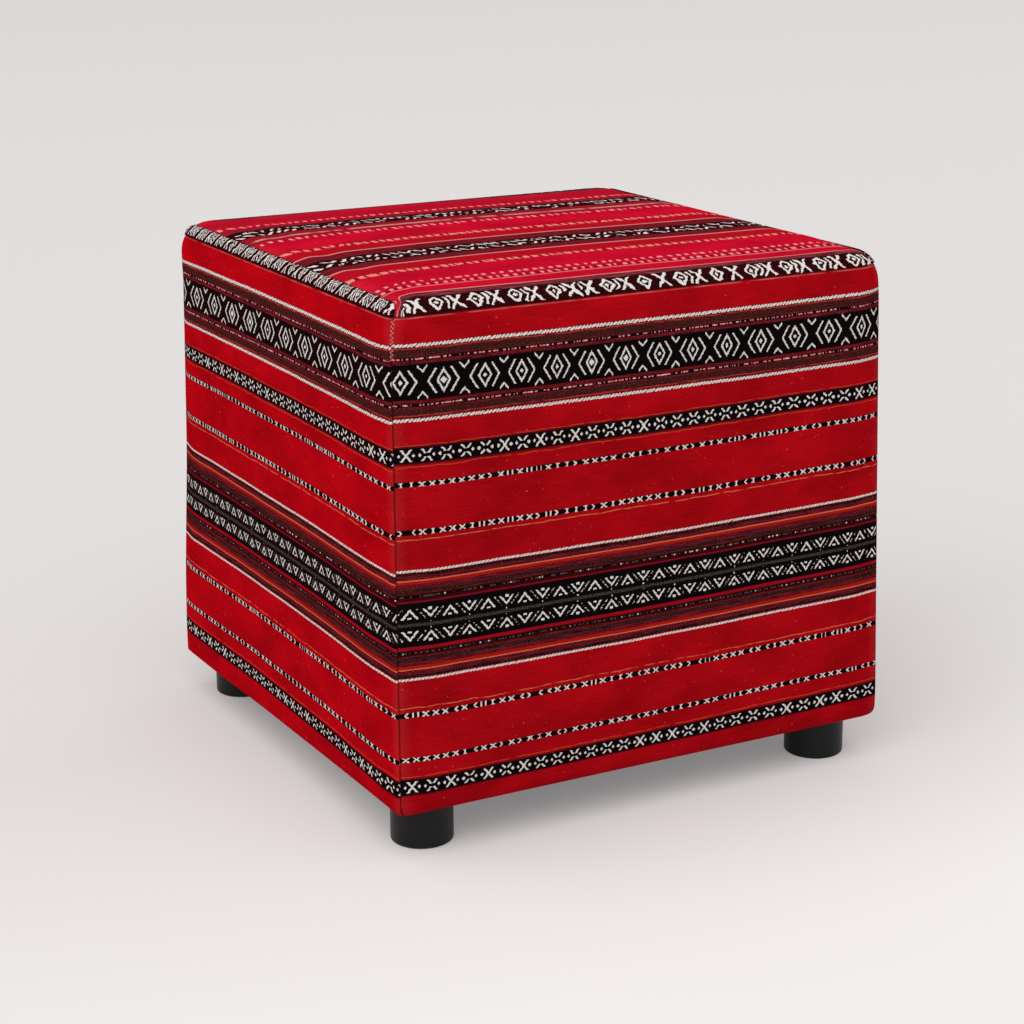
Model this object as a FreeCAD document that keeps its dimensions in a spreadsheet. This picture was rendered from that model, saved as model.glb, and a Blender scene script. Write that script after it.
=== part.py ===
"""Square upholstered ottoman: striped cloth cover over a padded board box on four round plastic feet.

All sizes are millimetres. The origin is the centre of the footprint on the floor, +Z is up and the
front faces -Y. Left is -X, right is +X.
"""
import FreeCAD
import Part
import Sketcher
import math
import os

DIMENSIONS = [
    ("seat_width", 450.0, "covered body from left to right"),
    ("seat_depth", 450.0, "covered body from front to back"),
    ("overall_height", 440.0, "floor to the highest point of the seat"),
    ("crown_height", 6.0, "rise of the seat from its edges to its middle"),
    ("crown_mid_inset", 80.0, "shoulder of the crown, in from the sides"),
    ("crown_mid_rise", 4.0, "rise of that shoulder above the edges"),
    ("crown_flat_inset", 140.0, "flat middle of the seat, in from the sides"),
    ("corner_radius", 16.0, "upright corners of the cover"),
    ("top_corner_radius", 26.0, "corners of the seat where the rolled edge ends"),
    ("top_edge_radius", 24.0, "rolled edge round the seat"),
    ("bottom_edge_radius", 12.0, "lower edge where the cloth turns under"),
    ("seam_drop", 16.0, "seam round the seat, below the highest point"),
    ("left_border_inset", 15.0, "upper seam of the left border, in from its side"),
    ("right_border_inset", 15.0, "upper seam of the right border, in from its side"),
    ("turn_under", 40.0, "cloth folded under the base, in from the sides"),
    ("fabric_thickness", 1.2, "woven cover cloth"),
    ("ply_gap", 0.2, "play between soft layers"),
    ("wadding_thickness", 8.0, "polyester wadding under the cloth"),
    ("foam_thickness", 60.0, "seat foam at its edges"),
    ("deck_thickness", 12.0, "plywood under the foam"),
    ("panel_thickness", 12.0, "plywood sides"),
    ("base_thickness", 15.0, "plywood base"),
    ("base_edge_radius", 4.0, "eased lower edge of the base"),
    ("post_width", 32.0, "square corner posts"),
    ("dust_cover_thickness", 0.6, "black felt under the base"),
    ("dust_cover_inset", 14.0, "edge of the felt, in from the sides"),
    ("leg_height", 33.0, "floor to the felt"),
    ("leg_diameter", 50.0, "outside of a foot"),
    ("leg_wall", 3.0, "moulded wall of a foot"),
    ("leg_floor", 4.0, "moulded bottom of a foot"),
    ("leg_edge_radius", 2.0, "round on the lower edge of a foot"),
    ("leg_boss_diameter", 21.0, "boss round the screw in a foot"),
    ("leg_access_diameter", 14.0, "hole for the screwdriver in a foot"),
    ("leg_shoulder_height", 12.0, "seat of the screw head, above the floor"),
    ("leg_bore_clearance", 0.4, "bore of a foot over the screw, on the diameter"),
    ("leg_rib_thickness", 2.5, "webs between boss and wall"),
    ("leg_rib_drop", 1.5, "top of the webs, below the rim"),
    ("leg_rib_count", 6, "webs in a foot"),
    ("leg_screw_diameter", 6.0, "screw that holds a foot"),
    ("leg_screw_length", 70.0, "that screw under its head"),
    ("leg_screw_head_diameter", 12.0, "its pan head"),
    ("leg_screw_head_height", 4.0, "its pan head"),
    ("leg_screw_point", 8.0, "its tapered end"),
    ("wood_screw_diameter", 4.0, "countersunk screws of the box"),
    ("wood_screw_length", 40.0, "those screws over all"),
    ("wood_screw_head_diameter", 8.0, "their heads"),
    ("wood_screw_point", 5.0, "their tapered ends"),
    ("panel_screw_margin", 60.0, "first and last screw, in from the ends of a side"),
    ("screw_stagger", 16.0, "screws of neighbouring sides, apart in height"),
    ("base_screw_offset", 9.0, "base screws, off the middle of a post both ways"),
    ("staple_crown", 10.0, "outside width of a staple"),
    ("staple_length", 8.0, "legs of a staple"),
    ("staple_wire_thickness", 0.6, "flat wire of a staple"),
    ("staple_wire_width", 1.2, "flat wire of a staple"),
    ("staple_pitch", 50.0, "staples in a row"),
    ("cover_staple_inset", 32.0, "row through the cloth, in from the sides"),
    ("felt_staple_inset", 20.0, "row through the felt, in from the sides"),
    ("cover_staples_per_side", 6, "staples in a row"),
    ("felt_staples_per_side", 5, "staples in a row"),
]

# Positions that follow from the dimensions, each a formula over the names before it.
DERIVED = {
    "cover_bottom": "{leg_height} + {dust_cover_thickness}",
    "lining_bottom": "{cover_bottom} + {fabric_thickness}",
    "base_bottom": "{lining_bottom} + {ply_gap}",
    "base_top": "{base_bottom} + {base_thickness}",
    "edge_top": "{overall_height} - {crown_height}",
    "roll_start": "{edge_top} - {top_edge_radius}",
    "seam_height": "{overall_height} - {seam_drop}",
    "wadding_outside": "{fabric_thickness} + {ply_gap}",
    "wadding_inside": "{wadding_outside} + {wadding_thickness}",
    "frame_inset": "{wadding_inside} + {ply_gap}",
    "deck_top": "{edge_top} - {frame_inset} - {foam_thickness}",
    "deck_bottom": "{deck_top} - {deck_thickness}",
    "frame_width": "{seat_width} - 2 * {frame_inset}",
    "frame_depth": "{seat_depth} - 2 * {frame_inset}",
    "post_inset": "{frame_inset} + {panel_thickness} + {post_width} / 2",
    "leg_x": "{seat_width} / 2 - {post_inset}",
    "leg_y": "{seat_depth} / 2 - {post_inset}",
}

SIDES = ("front", "right", "back", "left")
CORNERS = {
    "front_left": (-1, -1),
    "front_right": (1, -1),
    "back_left": (-1, 1),
    "back_right": (1, 1),
}
ROLL_ANGLES = (0, 30, 60, 90)

NAMES = {alias: f"Dimensions.{alias}" for alias, _, _ in DIMENSIONS}
for derived_name, derived_text in DERIVED.items():
    NAMES[derived_name] = f"({derived_text.format_map(NAMES)})"

doc = FreeCAD.newDocument("ottoman")
sheet = doc.addObject("Spreadsheet::Sheet", "Dimensions")
for row, (alias, size, note) in enumerate(DIMENSIONS, start=1):
    sheet.set(f"A{row}", alias)
    sheet.set(f"B{row}", str(size))
    sheet.setAlias(f"B{row}", alias)
    sheet.set(f"C{row}", note)
doc.recompute()


def formula(text):
    """Turns a formula over dimension names into an expression over the sheet."""
    return text.format_map(NAMES)


def number(text):
    """Works out a formula over dimension names."""
    return float(sheet.evalExpression(formula(text)))


def bind(thing, **formulas):
    """Binds properties of a document object to formulas; x, y and z stand for its position."""
    paths = {axis: f"Placement.Base.{axis}" for axis in "xyz"}
    for name, text in formulas.items():
        thing.setExpression(paths.get(name, name), formula(text))
    return thing


def box(label, **formulas):
    """Makes a bound box."""
    return bind(doc.addObject("Part::Box", label), **formulas)


def cut(label, base, tool):
    """Takes the tool away from the base."""
    result = doc.addObject("Part::Cut", label)
    result.Base = base
    result.Tool = tool
    return result


def common(label, base, tool):
    """Keeps what the two share."""
    result = doc.addObject("Part::Common", label)
    result.Base = base
    result.Tool = tool
    return result


def gather(label, members):
    """Puts several objects in one compound."""
    result = doc.addObject("Part::Compound", label)
    result.Links = members
    return result


def sketch_on(body, plane, label, height="0"):
    """Starts a sketch on one of the body's own planes, lifted along the plane's normal."""
    drawing = body.newObject("Sketcher::SketchObject", label)
    support = next(item for item in body.Origin.OriginFeatures if item.Role == plane)
    drawing.AttachmentSupport = (support, "")
    drawing.MapMode = "FlatFace"
    drawing.setExpression("AttachmentOffset.Base.z", formula(height))
    return drawing


def rounded_rectangle(drawing, width, depth, radius):
    """Draws a rectangle with round corners about the sketch's origin."""
    half_x = number(width) / 2
    half_y = number(depth) / 2
    round_size = number(radius)
    in_x = half_x - round_size
    in_y = half_y - round_size
    up = FreeCAD.Vector(0, 0, 1)
    corners = ((in_x, -in_y, 270), (in_x, in_y, 0), (-in_x, in_y, 90), (-in_x, -in_y, 180))
    ends = ((-in_x, -half_y, in_x, -half_y), (half_x, -in_y, half_x, in_y),
            (in_x, half_y, -in_x, half_y), (-half_x, in_y, -half_x, -in_y))
    for (x0, y0, x1, y1), (cx, cy, start) in zip(ends, corners):
        drawing.addGeometry(Part.LineSegment(FreeCAD.Vector(x0, y0), FreeCAD.Vector(x1, y1)))
        circle = Part.Circle(FreeCAD.Vector(cx, cy), up, round_size)
        first = math.radians(start)
        drawing.addGeometry(Part.ArcOfCircle(circle, first, first + math.pi / 2))
    for line in (0, 2, 4, 6):
        drawing.addConstraint(Sketcher.Constraint("Tangent", line, 2, line + 1, 1))
        drawing.addConstraint(Sketcher.Constraint("Tangent", line + 1, 2, (line + 2) % 8, 1))
    for line, direction in ((0, "Horizontal"), (2, "Vertical"), (4, "Horizontal"), (6, "Vertical")):
        drawing.addConstraint(Sketcher.Constraint(direction, line))
    for arc in (3, 5, 7):
        drawing.addConstraint(Sketcher.Constraint("Equal", 1, arc))
    drawing.addConstraint(Sketcher.Constraint("Symmetric", 1, 3, 5, 3, -1, 1))
    sizes = (
        (Sketcher.Constraint("DistanceX", 6, 1, 2, 1, 2 * half_x), width),
        (Sketcher.Constraint("DistanceY", 0, 1, 4, 1, 2 * half_y), depth),
        (Sketcher.Constraint("Radius", 1, round_size), radius),
    )
    for constraint, text in sizes:
        index = drawing.addConstraint(constraint)
        drawing.setExpression(f"Constraints[{index}]", formula(text))


def closed_outline(drawing, points):
    """Draws a closed run of lines through points given as pairs of formulas."""
    places = [FreeCAD.Vector(number(across), number(along)) for across, along in points]
    count = len(places)
    for index in range(count):
        drawing.addGeometry(Part.LineSegment(places[index], places[(index + 1) % count]))
    for index in range(count):
        following = (index + 1) % count
        drawing.addConstraint(Sketcher.Constraint("Coincident", index, 2, following, 1))
    for index, pair in enumerate(points):
        for kind, text, offset in zip(("DistanceX", "DistanceY"), pair, places[index]):
            if abs(offset) < 1e-9:
                other = {"DistanceX": -2, "DistanceY": -1}[kind]
                drawing.addConstraint(Sketcher.Constraint("PointOnObject", index, 1, other))
            else:
                size = Sketcher.Constraint(kind, -1, 1, index, 1, offset)
                added = drawing.addConstraint(size)
                drawing.setExpression(f"Constraints[{added}]", formula(text))


def revolved(body, label, points):
    """Turns a half section, given as radius and height, about the body's own Z axis."""
    drawing = sketch_on(body, "XZ_Plane", f"{label}_section")
    closed_outline(drawing, points)
    turned = body.newObject("PartDesign::Revolution", label)
    turned.Profile = drawing
    turned.ReferenceAxis = (drawing, ["V_Axis"])
    turned.Angle = 360
    return turned


def edges_at(feature, height):
    """Names the edges of a feature that lie flat at a height."""
    level = number(height)
    return [f"Edge{index}" for index, edge in enumerate(feature.Shape.Edges, start=1)
            if all(abs(vertex.Z - level) < 1e-6 for vertex in edge.Vertexes)]


def walls(body, label, inset, bottom, top):
    """Pads the upright part of the covered body, inset from the outside of the cloth."""
    drawing = sketch_on(body, "XY_Plane", f"{label}_plan", bottom)
    rounded_rectangle(drawing, f"{{seat_width}} - 2 * {inset}", f"{{seat_depth}} - 2 * {inset}",
                      f"{{corner_radius}} - {inset}")
    pad = body.newObject("PartDesign::Pad", label)
    pad.Profile = drawing
    bind(pad, Length=f"{top} - {bottom}")
    doc.recompute()
    return pad


def round_under(body, base, inset, bottom):
    """Rounds the lower edge of the covered body where the cloth turns under."""
    fillet = body.newObject("PartDesign::Fillet", f"{base.Label}_round")
    fillet.Base = (base, edges_at(base, bottom))
    bind(fillet, Radius=f"{{bottom_edge_radius}} - {inset}")
    doc.recompute()
    return fillet


def loft(body, label, sections):
    """Lofts through rounded rectangles given as width, depth, corner radius and height."""
    drawings = []
    for index, (width, depth, radius, height) in enumerate(sections):
        drawing = sketch_on(body, "XY_Plane", f"{label}_{index}", height)
        rounded_rectangle(drawing, width, depth, radius)
        drawings.append(drawing)
    result = body.newObject("PartDesign::AdditiveLoft", label)
    result.Profile = drawings[0]
    result.Sections = drawings[1:]
    doc.recompute()
    return result


def seat_form(label, inset, bottom, round_bottom=False):
    """Builds the whole padded form, inset from the outside of the cloth.

    Upright walls carry a rolled edge, and a low crown closes the seat. The roll keeps a true
    circle at every inset, so one form fits inside the next with an even gap.
    """
    body = doc.addObject("PartDesign::Body", label)
    last = walls(body, f"{label}_walls", inset, bottom, "{roll_start}")
    if round_bottom:
        round_under(body, last, inset, bottom)
    roll = []
    for step, angle in enumerate(ROLL_ANGLES):
        across = f"2 * (({{top_edge_radius}} - {inset}) * cos({angle} deg) - {{top_edge_radius}})"
        growth = f"({{top_corner_radius}} - {{corner_radius}}) * {step} / {len(ROLL_ANGLES) - 1}"
        roll.append((f"{{seat_width}} + {across}", f"{{seat_depth}} + {across}",
                     f"{{corner_radius}} - {inset} + {growth}",
                     f"{{roll_start}} + ({{top_edge_radius}} - {inset}) * sin({angle} deg)"))
    loft(body, f"{label}_roll", roll)
    crown = []
    for reach, rise in (("{top_edge_radius}", "0"), ("{crown_mid_inset}", "{crown_mid_rise}"),
                        ("{crown_flat_inset}", "{crown_height}")):
        crown.append((f"{{seat_width}} - 2 * {reach}", f"{{seat_depth}} - 2 * {reach}",
                      f"{{top_corner_radius}} - {inset}", f"{{edge_top}} - {inset} + {rise}"))
    loft(body, f"{label}_crown", crown)
    return body


def side_wedge(label, side, bottom, top):
    """Makes the wedge from the middle of the seat to one side, mitred through its corners."""
    along_x = side in ("front", "back")
    width = "{seat_width}" if along_x else "{seat_depth}"
    depth = "{seat_depth}" if along_x else "{seat_width}"
    wedge = doc.addObject("Part::Wedge", label)
    bind(wedge, Xmin=f"-{width}", Xmax=width, Ymin=f"-{depth}", Ymax="0", X2min="0", X2max="0",
         Zmin=bottom, Zmax=top, Z2min=bottom, Z2max=top)
    turn = FreeCAD.Rotation(FreeCAD.Vector(0, 0, 1), 90 * SIDES.index(side))
    wedge.Placement = FreeCAD.Placement(FreeCAD.Vector(), turn)
    return wedge


def group(label, master, places):
    """Makes one node of separate copies of a small fastener."""
    shape = master.Shape
    copies = []
    for place in places:
        copy = shape.copy()
        copy.Placement = place
        copies.append(copy)
    result = doc.addObject("Part::Feature", label)
    result.Shape = Part.makeCompound(copies)
    return result


def at(x, y, z, axis=FreeCAD.Vector(0, 0, 1), degrees=0.0):
    """Makes a placement from a position and one turn."""
    return FreeCAD.Placement(FreeCAD.Vector(x, y, z), FreeCAD.Rotation(axis, degrees))


def wood_screw():
    """Makes a countersunk screw with its head at the origin, pointing down."""
    body = doc.addObject("PartDesign::Body", "wood_screw_pattern")
    sink = "({wood_screw_head_diameter} - {wood_screw_diameter}) / 2"
    revolved(body, "wood_screw_turned", [
        ("0", "0"),
        ("{wood_screw_head_diameter} / 2", "0"),
        ("{wood_screw_diameter} / 2", f"-{sink}"),
        ("{wood_screw_diameter} / 2", "{wood_screw_point} - {wood_screw_length}"),
        ("0", "-{wood_screw_length}"),
    ])
    doc.recompute()
    return body


def leg_screw():
    """Makes the screw of a foot, its head seated at the origin and pointing up."""
    body = doc.addObject("PartDesign::Body", "leg_screw_pattern")
    revolved(body, "leg_screw_turned", [
        ("0", "-{leg_screw_head_height}"),
        ("{leg_screw_head_diameter} / 2", "-{leg_screw_head_height}"),
        ("{leg_screw_head_diameter} / 2", "0"),
        ("{leg_screw_diameter} / 2", "0"),
        ("{leg_screw_diameter} / 2", "{leg_screw_length} - {leg_screw_point}"),
        ("0", "{leg_screw_length}"),
    ])
    doc.recompute()
    return body


def staple():
    """Makes a staple whose crown lies along X, its lower face at the origin and legs up."""
    body = doc.addObject("PartDesign::Body", "staple_pattern")
    drawing = sketch_on(body, "XZ_Plane", "staple_outline")
    half = "{staple_crown} / 2"
    inner = f"({half} - {{staple_wire_thickness}})"
    closed_outline(drawing, [
        (f"-{half}", "0"),
        (half, "0"),
        (half, "{staple_length}"),
        (inner, "{staple_length}"),
        (inner, "{staple_wire_thickness}"),
        (f"-{inner}", "{staple_wire_thickness}"),
        (f"-{inner}", "{staple_length}"),
        (f"-{half}", "{staple_length}"),
    ])
    pad = body.newObject("PartDesign::Pad", "staple_wire")
    pad.Profile = drawing
    pad.Midplane = True
    bind(pad, Length="{staple_wire_width}")
    doc.recompute()
    return body


def staple_rows(per_side, inset, height):
    """Places staples in a row along each side of the base, crowns along the row."""
    reach_x = number("{seat_width} / 2") - number(inset)
    reach_y = number("{seat_depth} / 2") - number(inset)
    level = number(height)
    count = round(number(per_side))
    places = []
    for index in range(count):
        offset = (index - (count - 1) / 2) * number("{staple_pitch}")
        places += [at(offset, -reach_y, level), at(offset, reach_y, level)]
        places += [at(side * reach_x, offset, level, degrees=90) for side in (-1, 1)]
    return places


def foot(label, side_x, side_y):
    """Moulds one hollow foot: outer wall, closed bottom, stepped screw boss and radial webs."""
    body = doc.addObject("PartDesign::Body", label)
    outside = "{leg_diameter} / 2"
    inside = "({leg_diameter} / 2 - {leg_wall})"
    boss = "{leg_boss_diameter} / 2"
    bore = "({leg_screw_diameter} + {leg_bore_clearance}) / 2"
    access = "{leg_access_diameter} / 2"
    shell = revolved(body, f"{label}_shell", [
        (access, "0"),
        (outside, "0"),
        (outside, "{leg_height}"),
        (inside, "{leg_height}"),
        (inside, "{leg_floor}"),
        (boss, "{leg_floor}"),
        (boss, "{leg_height}"),
        (bore, "{leg_height}"),
        (bore, "{leg_shoulder_height}"),
        (access, "{leg_shoulder_height}"),
    ])
    doc.recompute()
    rim = [name for name in edges_at(shell, "0")
           if abs(shell.Shape.getElement(name).BoundBox.XMax - number(outside)) < 1e-6]
    rounded = body.newObject("PartDesign::Fillet", f"{label}_round")
    rounded.Base = (shell, rim)
    bind(rounded, Radius="{leg_edge_radius}")
    doc.recompute()
    web_plan = sketch_on(body, "XY_Plane", f"{label}_web_plan", "{leg_floor}")
    root = f"({boss} - {{leg_rib_thickness}} / 2)"
    tip = f"({inside} + {{leg_wall}} / 2)"
    half = "{leg_rib_thickness} / 2"
    closed_outline(web_plan, [(root, f"-{half}"), (tip, f"-{half}"), (tip, half), (root, half)])
    web = body.newObject("PartDesign::Pad", f"{label}_web")
    web.Profile = web_plan
    bind(web, Length="{leg_height} - {leg_floor} - {leg_rib_drop}")
    doc.recompute()
    ring = body.newObject("PartDesign::PolarPattern", f"{label}_webs")
    ring.Originals = [web]
    axis = next(item for item in body.Origin.OriginFeatures if item.Role == "Z_Axis")
    ring.Axis = (axis, [""])
    ring.Angle = 360
    bind(ring, Occurrences="{leg_rib_count}")
    body.Tip = ring
    bind(body, x=f"{side_x} * {{leg_x}}", y=f"{side_y} * {{leg_y}}")
    return body


# Fasteners first, since the boards and cloths are pierced by them.
screw = wood_screw()
foot_screw = leg_screw()
wire_staple = staple()

post_x = number("{leg_x}")
post_y = number("{leg_y}")
frame_x = number("{frame_width} / 2")
frame_y = number("{frame_depth} / 2")
low = number("{base_top} + {panel_screw_margin}")
high = number("{deck_bottom} - {panel_screw_margin}")
levels = (low, (low + high) / 2, high)
stagger = number("{screw_stagger}")
x_axis = FreeCAD.Vector(1, 0, 0)
y_axis = FreeCAD.Vector(0, 1, 0)

panel_places = []
for sign_x, sign_y in CORNERS.values():
    for level in levels:
        panel_places.append(at(sign_x * post_x, sign_y * frame_y, level, x_axis, -90 * sign_y))
        panel_places.append(at(sign_x * frame_x, sign_y * post_y, level + stagger, y_axis, 90 * sign_x))
offset = number("{base_screw_offset}")
base_level = number("{base_bottom}")
base_places = [at(sign_x * post_x + step, sign_y * post_y - sign_x * sign_y * step, base_level, x_axis, 180)
               for sign_x, sign_y in CORNERS.values() for step in (-offset, offset)]
deck_level = number("{deck_top}")
deck_places = [at(sign_x * post_x, sign_y * post_y, deck_level) for sign_x, sign_y in CORNERS.values()]
shoulder = number("{leg_shoulder_height}")
leg_places = [at(sign_x * post_x, sign_y * post_y, shoulder) for sign_x, sign_y in CORNERS.values()]

panel_screws = group("panel_screws", screw, panel_places)
base_screws = group("base_screws", screw, base_places)
deck_screws = group("deck_screws", screw, deck_places)
leg_screws = group("leg_screws", foot_screw, leg_places)
cover_staples = group("cover_staples", wire_staple,
                      staple_rows("{cover_staples_per_side}", "{cover_staple_inset}", "{cover_bottom}"))
felt_staples = group("dust_cover_staples", wire_staple,
                     staple_rows("{felt_staples_per_side}", "{felt_staple_inset}", "{leg_height}"))
cover_piercings = gather("cover_piercings", [cover_staples, felt_staples, leg_screws])
post_fasteners = gather("post_fasteners", [panel_screws, base_screws, deck_screws, leg_screws])
base_fasteners = gather("base_fasteners", [base_screws, leg_screws, cover_staples, felt_staples])
nodes = [panel_screws, base_screws, deck_screws, leg_screws, cover_staples, felt_staples]

# Feet.
nodes += [foot(f"leg_{corner}", *signs) for corner, signs in CORNERS.items()]

# Wooden box: base, four sides on it, posts in the corners and the deck on top.
base_body = doc.addObject("PartDesign::Body", "base_blank")
base_plan = sketch_on(base_body, "XY_Plane", "base_plan", "{base_bottom}")
half_frame_x = "{frame_width} / 2"
half_frame_y = "{frame_depth} / 2"
closed_outline(base_plan, [(f"-{half_frame_x}", f"-{half_frame_y}"), (half_frame_x, f"-{half_frame_y}"),
                           (half_frame_x, half_frame_y), (f"-{half_frame_x}", half_frame_y)])
base_pad = base_body.newObject("PartDesign::Pad", "base_pad")
base_pad.Profile = base_plan
bind(base_pad, Length="{base_thickness}")
doc.recompute()
base_ease = base_body.newObject("PartDesign::Fillet", "base_ease")
base_ease.Base = (base_pad, edges_at(base_pad, "{base_bottom}"))
bind(base_ease, Radius="{base_edge_radius}")
doc.recompute()
nodes.append(cut("base_board", base_body, base_fasteners))

deck_blank = box("deck_blank", Length="{frame_width}", Width="{frame_depth}", Height="{deck_thickness}",
                 x="-{frame_width} / 2", y="-{frame_depth} / 2", z="{deck_bottom}")
nodes.append(cut("deck_board", deck_blank, deck_screws))

panel_height = "{deck_bottom} - {base_top}"
for side, sign in (("front", -1), ("back", 1)):
    start = "-{frame_depth} / 2" if sign < 0 else "{frame_depth} / 2 - {panel_thickness}"
    blank = box(f"panel_{side}_blank", Length="{frame_width}", Width="{panel_thickness}", Height=panel_height,
                x="-{frame_width} / 2", y=start, z="{base_top}")
    nodes.append(cut(f"frame_panel_{side}", blank, panel_screws))
for side, sign in (("left", -1), ("right", 1)):
    start = "-{frame_width} / 2" if sign < 0 else "{frame_width} / 2 - {panel_thickness}"
    blank = box(f"panel_{side}_blank", Length="{panel_thickness}",
                Width="{frame_depth} - 2 * {panel_thickness}", Height=panel_height,
                x=start, y="{panel_thickness} - {frame_depth} / 2", z="{base_top}")
    nodes.append(cut(f"frame_panel_{side}", blank, panel_screws))
for corner, (sign_x, sign_y) in CORNERS.items():
    blank = box(f"post_{corner}_blank", Length="{post_width}", Width="{post_width}", Height=panel_height,
                x=f"{sign_x} * {{leg_x}} - {{post_width}} / 2",
                y=f"{sign_y} * {{leg_y}} - {{post_width}} / 2", z="{base_top}")
    nodes.append(cut(f"corner_post_{corner}", blank, post_fasteners))

# Padding: foam on the deck, a wadding cap over it and wadding down the four sides.
foam = seat_form("seat_foam", "{frame_inset}", "{deck_top}")
cap_outside = seat_form("cap_outside", "{wadding_outside}", "{deck_top}")
cap_inside = seat_form("cap_inside", "{wadding_inside}", "{deck_top}")
nodes += [foam, cut("seat_wadding", cap_outside, cap_inside)]

sleeve = doc.addObject("PartDesign::Body", "sleeve_outside")
sleeve_walls = walls(sleeve, "sleeve_walls", "{wadding_outside}", "{base_bottom}", "{deck_top}")
round_under(sleeve, sleeve_walls, "{wadding_outside}", "{base_bottom}")
sleeve_core = box("sleeve_core", Length="{seat_width} - 2 * {wadding_inside}",
                  Width="{seat_depth} - 2 * {wadding_inside}", Height="{deck_top}",
                  x="{wadding_inside} - {seat_width} / 2", y="{wadding_inside} - {seat_depth} / 2")
sleeve_ring = cut("sleeve_ring", sleeve, sleeve_core)
for side in SIDES:
    wedge = side_wedge(f"sleeve_wedge_{side}", side, "0", "{overall_height}")
    nodes.append(common(f"side_wadding_{side}", sleeve_ring, wedge))

# Cover: one crowned shell, parted at the seams into sides, seat panel and side borders.
cover_outside = seat_form("cover_outside", "0", "{cover_bottom}", round_bottom=True)
cover_inside = seat_form("cover_inside", "{fabric_thickness}", "{lining_bottom}", round_bottom=True)
cover_hull = cut("cover_hull", cover_outside, cover_inside)
opening = box("base_opening", Length="{seat_width} - 2 * {turn_under}",
              Width="{seat_depth} - 2 * {turn_under}", Height="{base_top}",
              x="{turn_under} - {seat_width} / 2", y="{turn_under} - {seat_depth} / 2")
cover_shell = cut("cover_shell", cover_hull, opening)
for side in SIDES:
    wedge = side_wedge(f"cover_wedge_{side}", side, "0", "{seam_height}")
    part_cloth = common(f"side_cloth_{side}", cover_shell, wedge)
    nodes.append(cut(f"side_cover_{side}", part_cloth, cover_piercings))

# Above the seam the borders end in mitres at the corners, and the seat panel takes the rest.
top_room = box("top_room", Length="{seat_width}", Width="{seat_depth}", Height="{seam_drop}",
               x="-{seat_width} / 2", y="-{seat_depth} / 2", z="{seam_height}")
top_cloth = common("top_cloth", cover_shell, top_room)
border_starts = {"left": "-{seat_width} / 2", "right": "{seat_width} / 2 - {right_border_inset}"}
border_rooms = []
for side, start in border_starts.items():
    lane = box(f"border_lane_{side}", Length=f"{{{side}_border_inset}}", Width="{seat_depth}",
               Height="{seam_drop}", x=start, y="-{seat_depth} / 2", z="{seam_height}")
    wedge = side_wedge(f"border_wedge_{side}", side, "{seam_height}", "{overall_height}")
    room = common(f"border_room_{side}", lane, wedge)
    border_rooms.append(room)
    nodes.append(common(f"border_strip_{side}", top_cloth, room))
nodes.append(cut("top_cover", top_cloth, gather("border_rooms", border_rooms)))

# Felt under the base, pierced by its staples and the screws of the feet.
felt_blank = box("felt_blank", Length="{seat_width} - 2 * {dust_cover_inset}",
                 Width="{seat_depth} - 2 * {dust_cover_inset}", Height="{dust_cover_thickness}",
                 x="{dust_cover_inset} - {seat_width} / 2", y="{dust_cover_inset} - {seat_depth} / 2",
                 z="{leg_height}")
felt_piercings = gather("felt_piercings", [leg_screws, felt_staples])
nodes.append(cut("dust_cover", felt_blank, felt_piercings))

doc.recompute()
for item in doc.Objects:
    if "Invalid" in item.State or "Error" in item.State:
        raise RuntimeError(f"{item.Label} did not build: {item.State}")
os.makedirs("parts", exist_ok=True)
for node in nodes:
    shape = node.Shape
    if shape.isNull() or not shape.isValid() or not shape.Solids:
        raise RuntimeError(f"{node.Label} has no valid solid")
    solid = shape.Solids[0] if len(shape.Solids) == 1 else shape
    solid.exportStep(f"parts/{node.Label}.step")
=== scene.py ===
"""Looks of a square upholstered ottoman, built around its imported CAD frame.

The frame brings the boards, posts, fasteners and feet. This file sews the cover from its
panels, pads it by cloth simulation, weaves its stripes in shader nodes and lights a plain studio.
"""

import logging
import math
from collections.abc import Callable, Iterable, Iterator
from dataclasses import dataclass, field
from enum import Enum
from typing import TypeAlias

import bpy
import numpy as np
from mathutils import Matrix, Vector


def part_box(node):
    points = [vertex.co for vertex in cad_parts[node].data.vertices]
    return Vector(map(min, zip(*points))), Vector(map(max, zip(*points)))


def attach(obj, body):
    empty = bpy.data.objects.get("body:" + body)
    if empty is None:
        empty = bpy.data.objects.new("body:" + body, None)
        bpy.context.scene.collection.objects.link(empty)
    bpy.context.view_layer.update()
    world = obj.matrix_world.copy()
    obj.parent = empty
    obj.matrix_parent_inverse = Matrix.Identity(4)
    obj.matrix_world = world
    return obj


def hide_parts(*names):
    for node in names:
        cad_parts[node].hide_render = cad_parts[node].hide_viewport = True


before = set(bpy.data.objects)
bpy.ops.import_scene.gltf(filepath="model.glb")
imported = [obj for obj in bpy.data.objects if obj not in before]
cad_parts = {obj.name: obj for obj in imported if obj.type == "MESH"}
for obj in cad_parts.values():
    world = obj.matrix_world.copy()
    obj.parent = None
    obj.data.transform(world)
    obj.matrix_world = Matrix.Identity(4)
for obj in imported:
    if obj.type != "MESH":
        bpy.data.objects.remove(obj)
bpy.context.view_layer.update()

LOG = logging.getLogger("ottoman")
BODY = "root"
CLOTH_MAP = "cloth"
SEAM_MAP = "seam"
MILLIMETRES = 1000.0
SMOOTH_ANGLE = math.radians(40.0)
TINY = 1e-9

Number: TypeAlias = "Signal | float"
Grid: TypeAlias = np.ndarray


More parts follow.
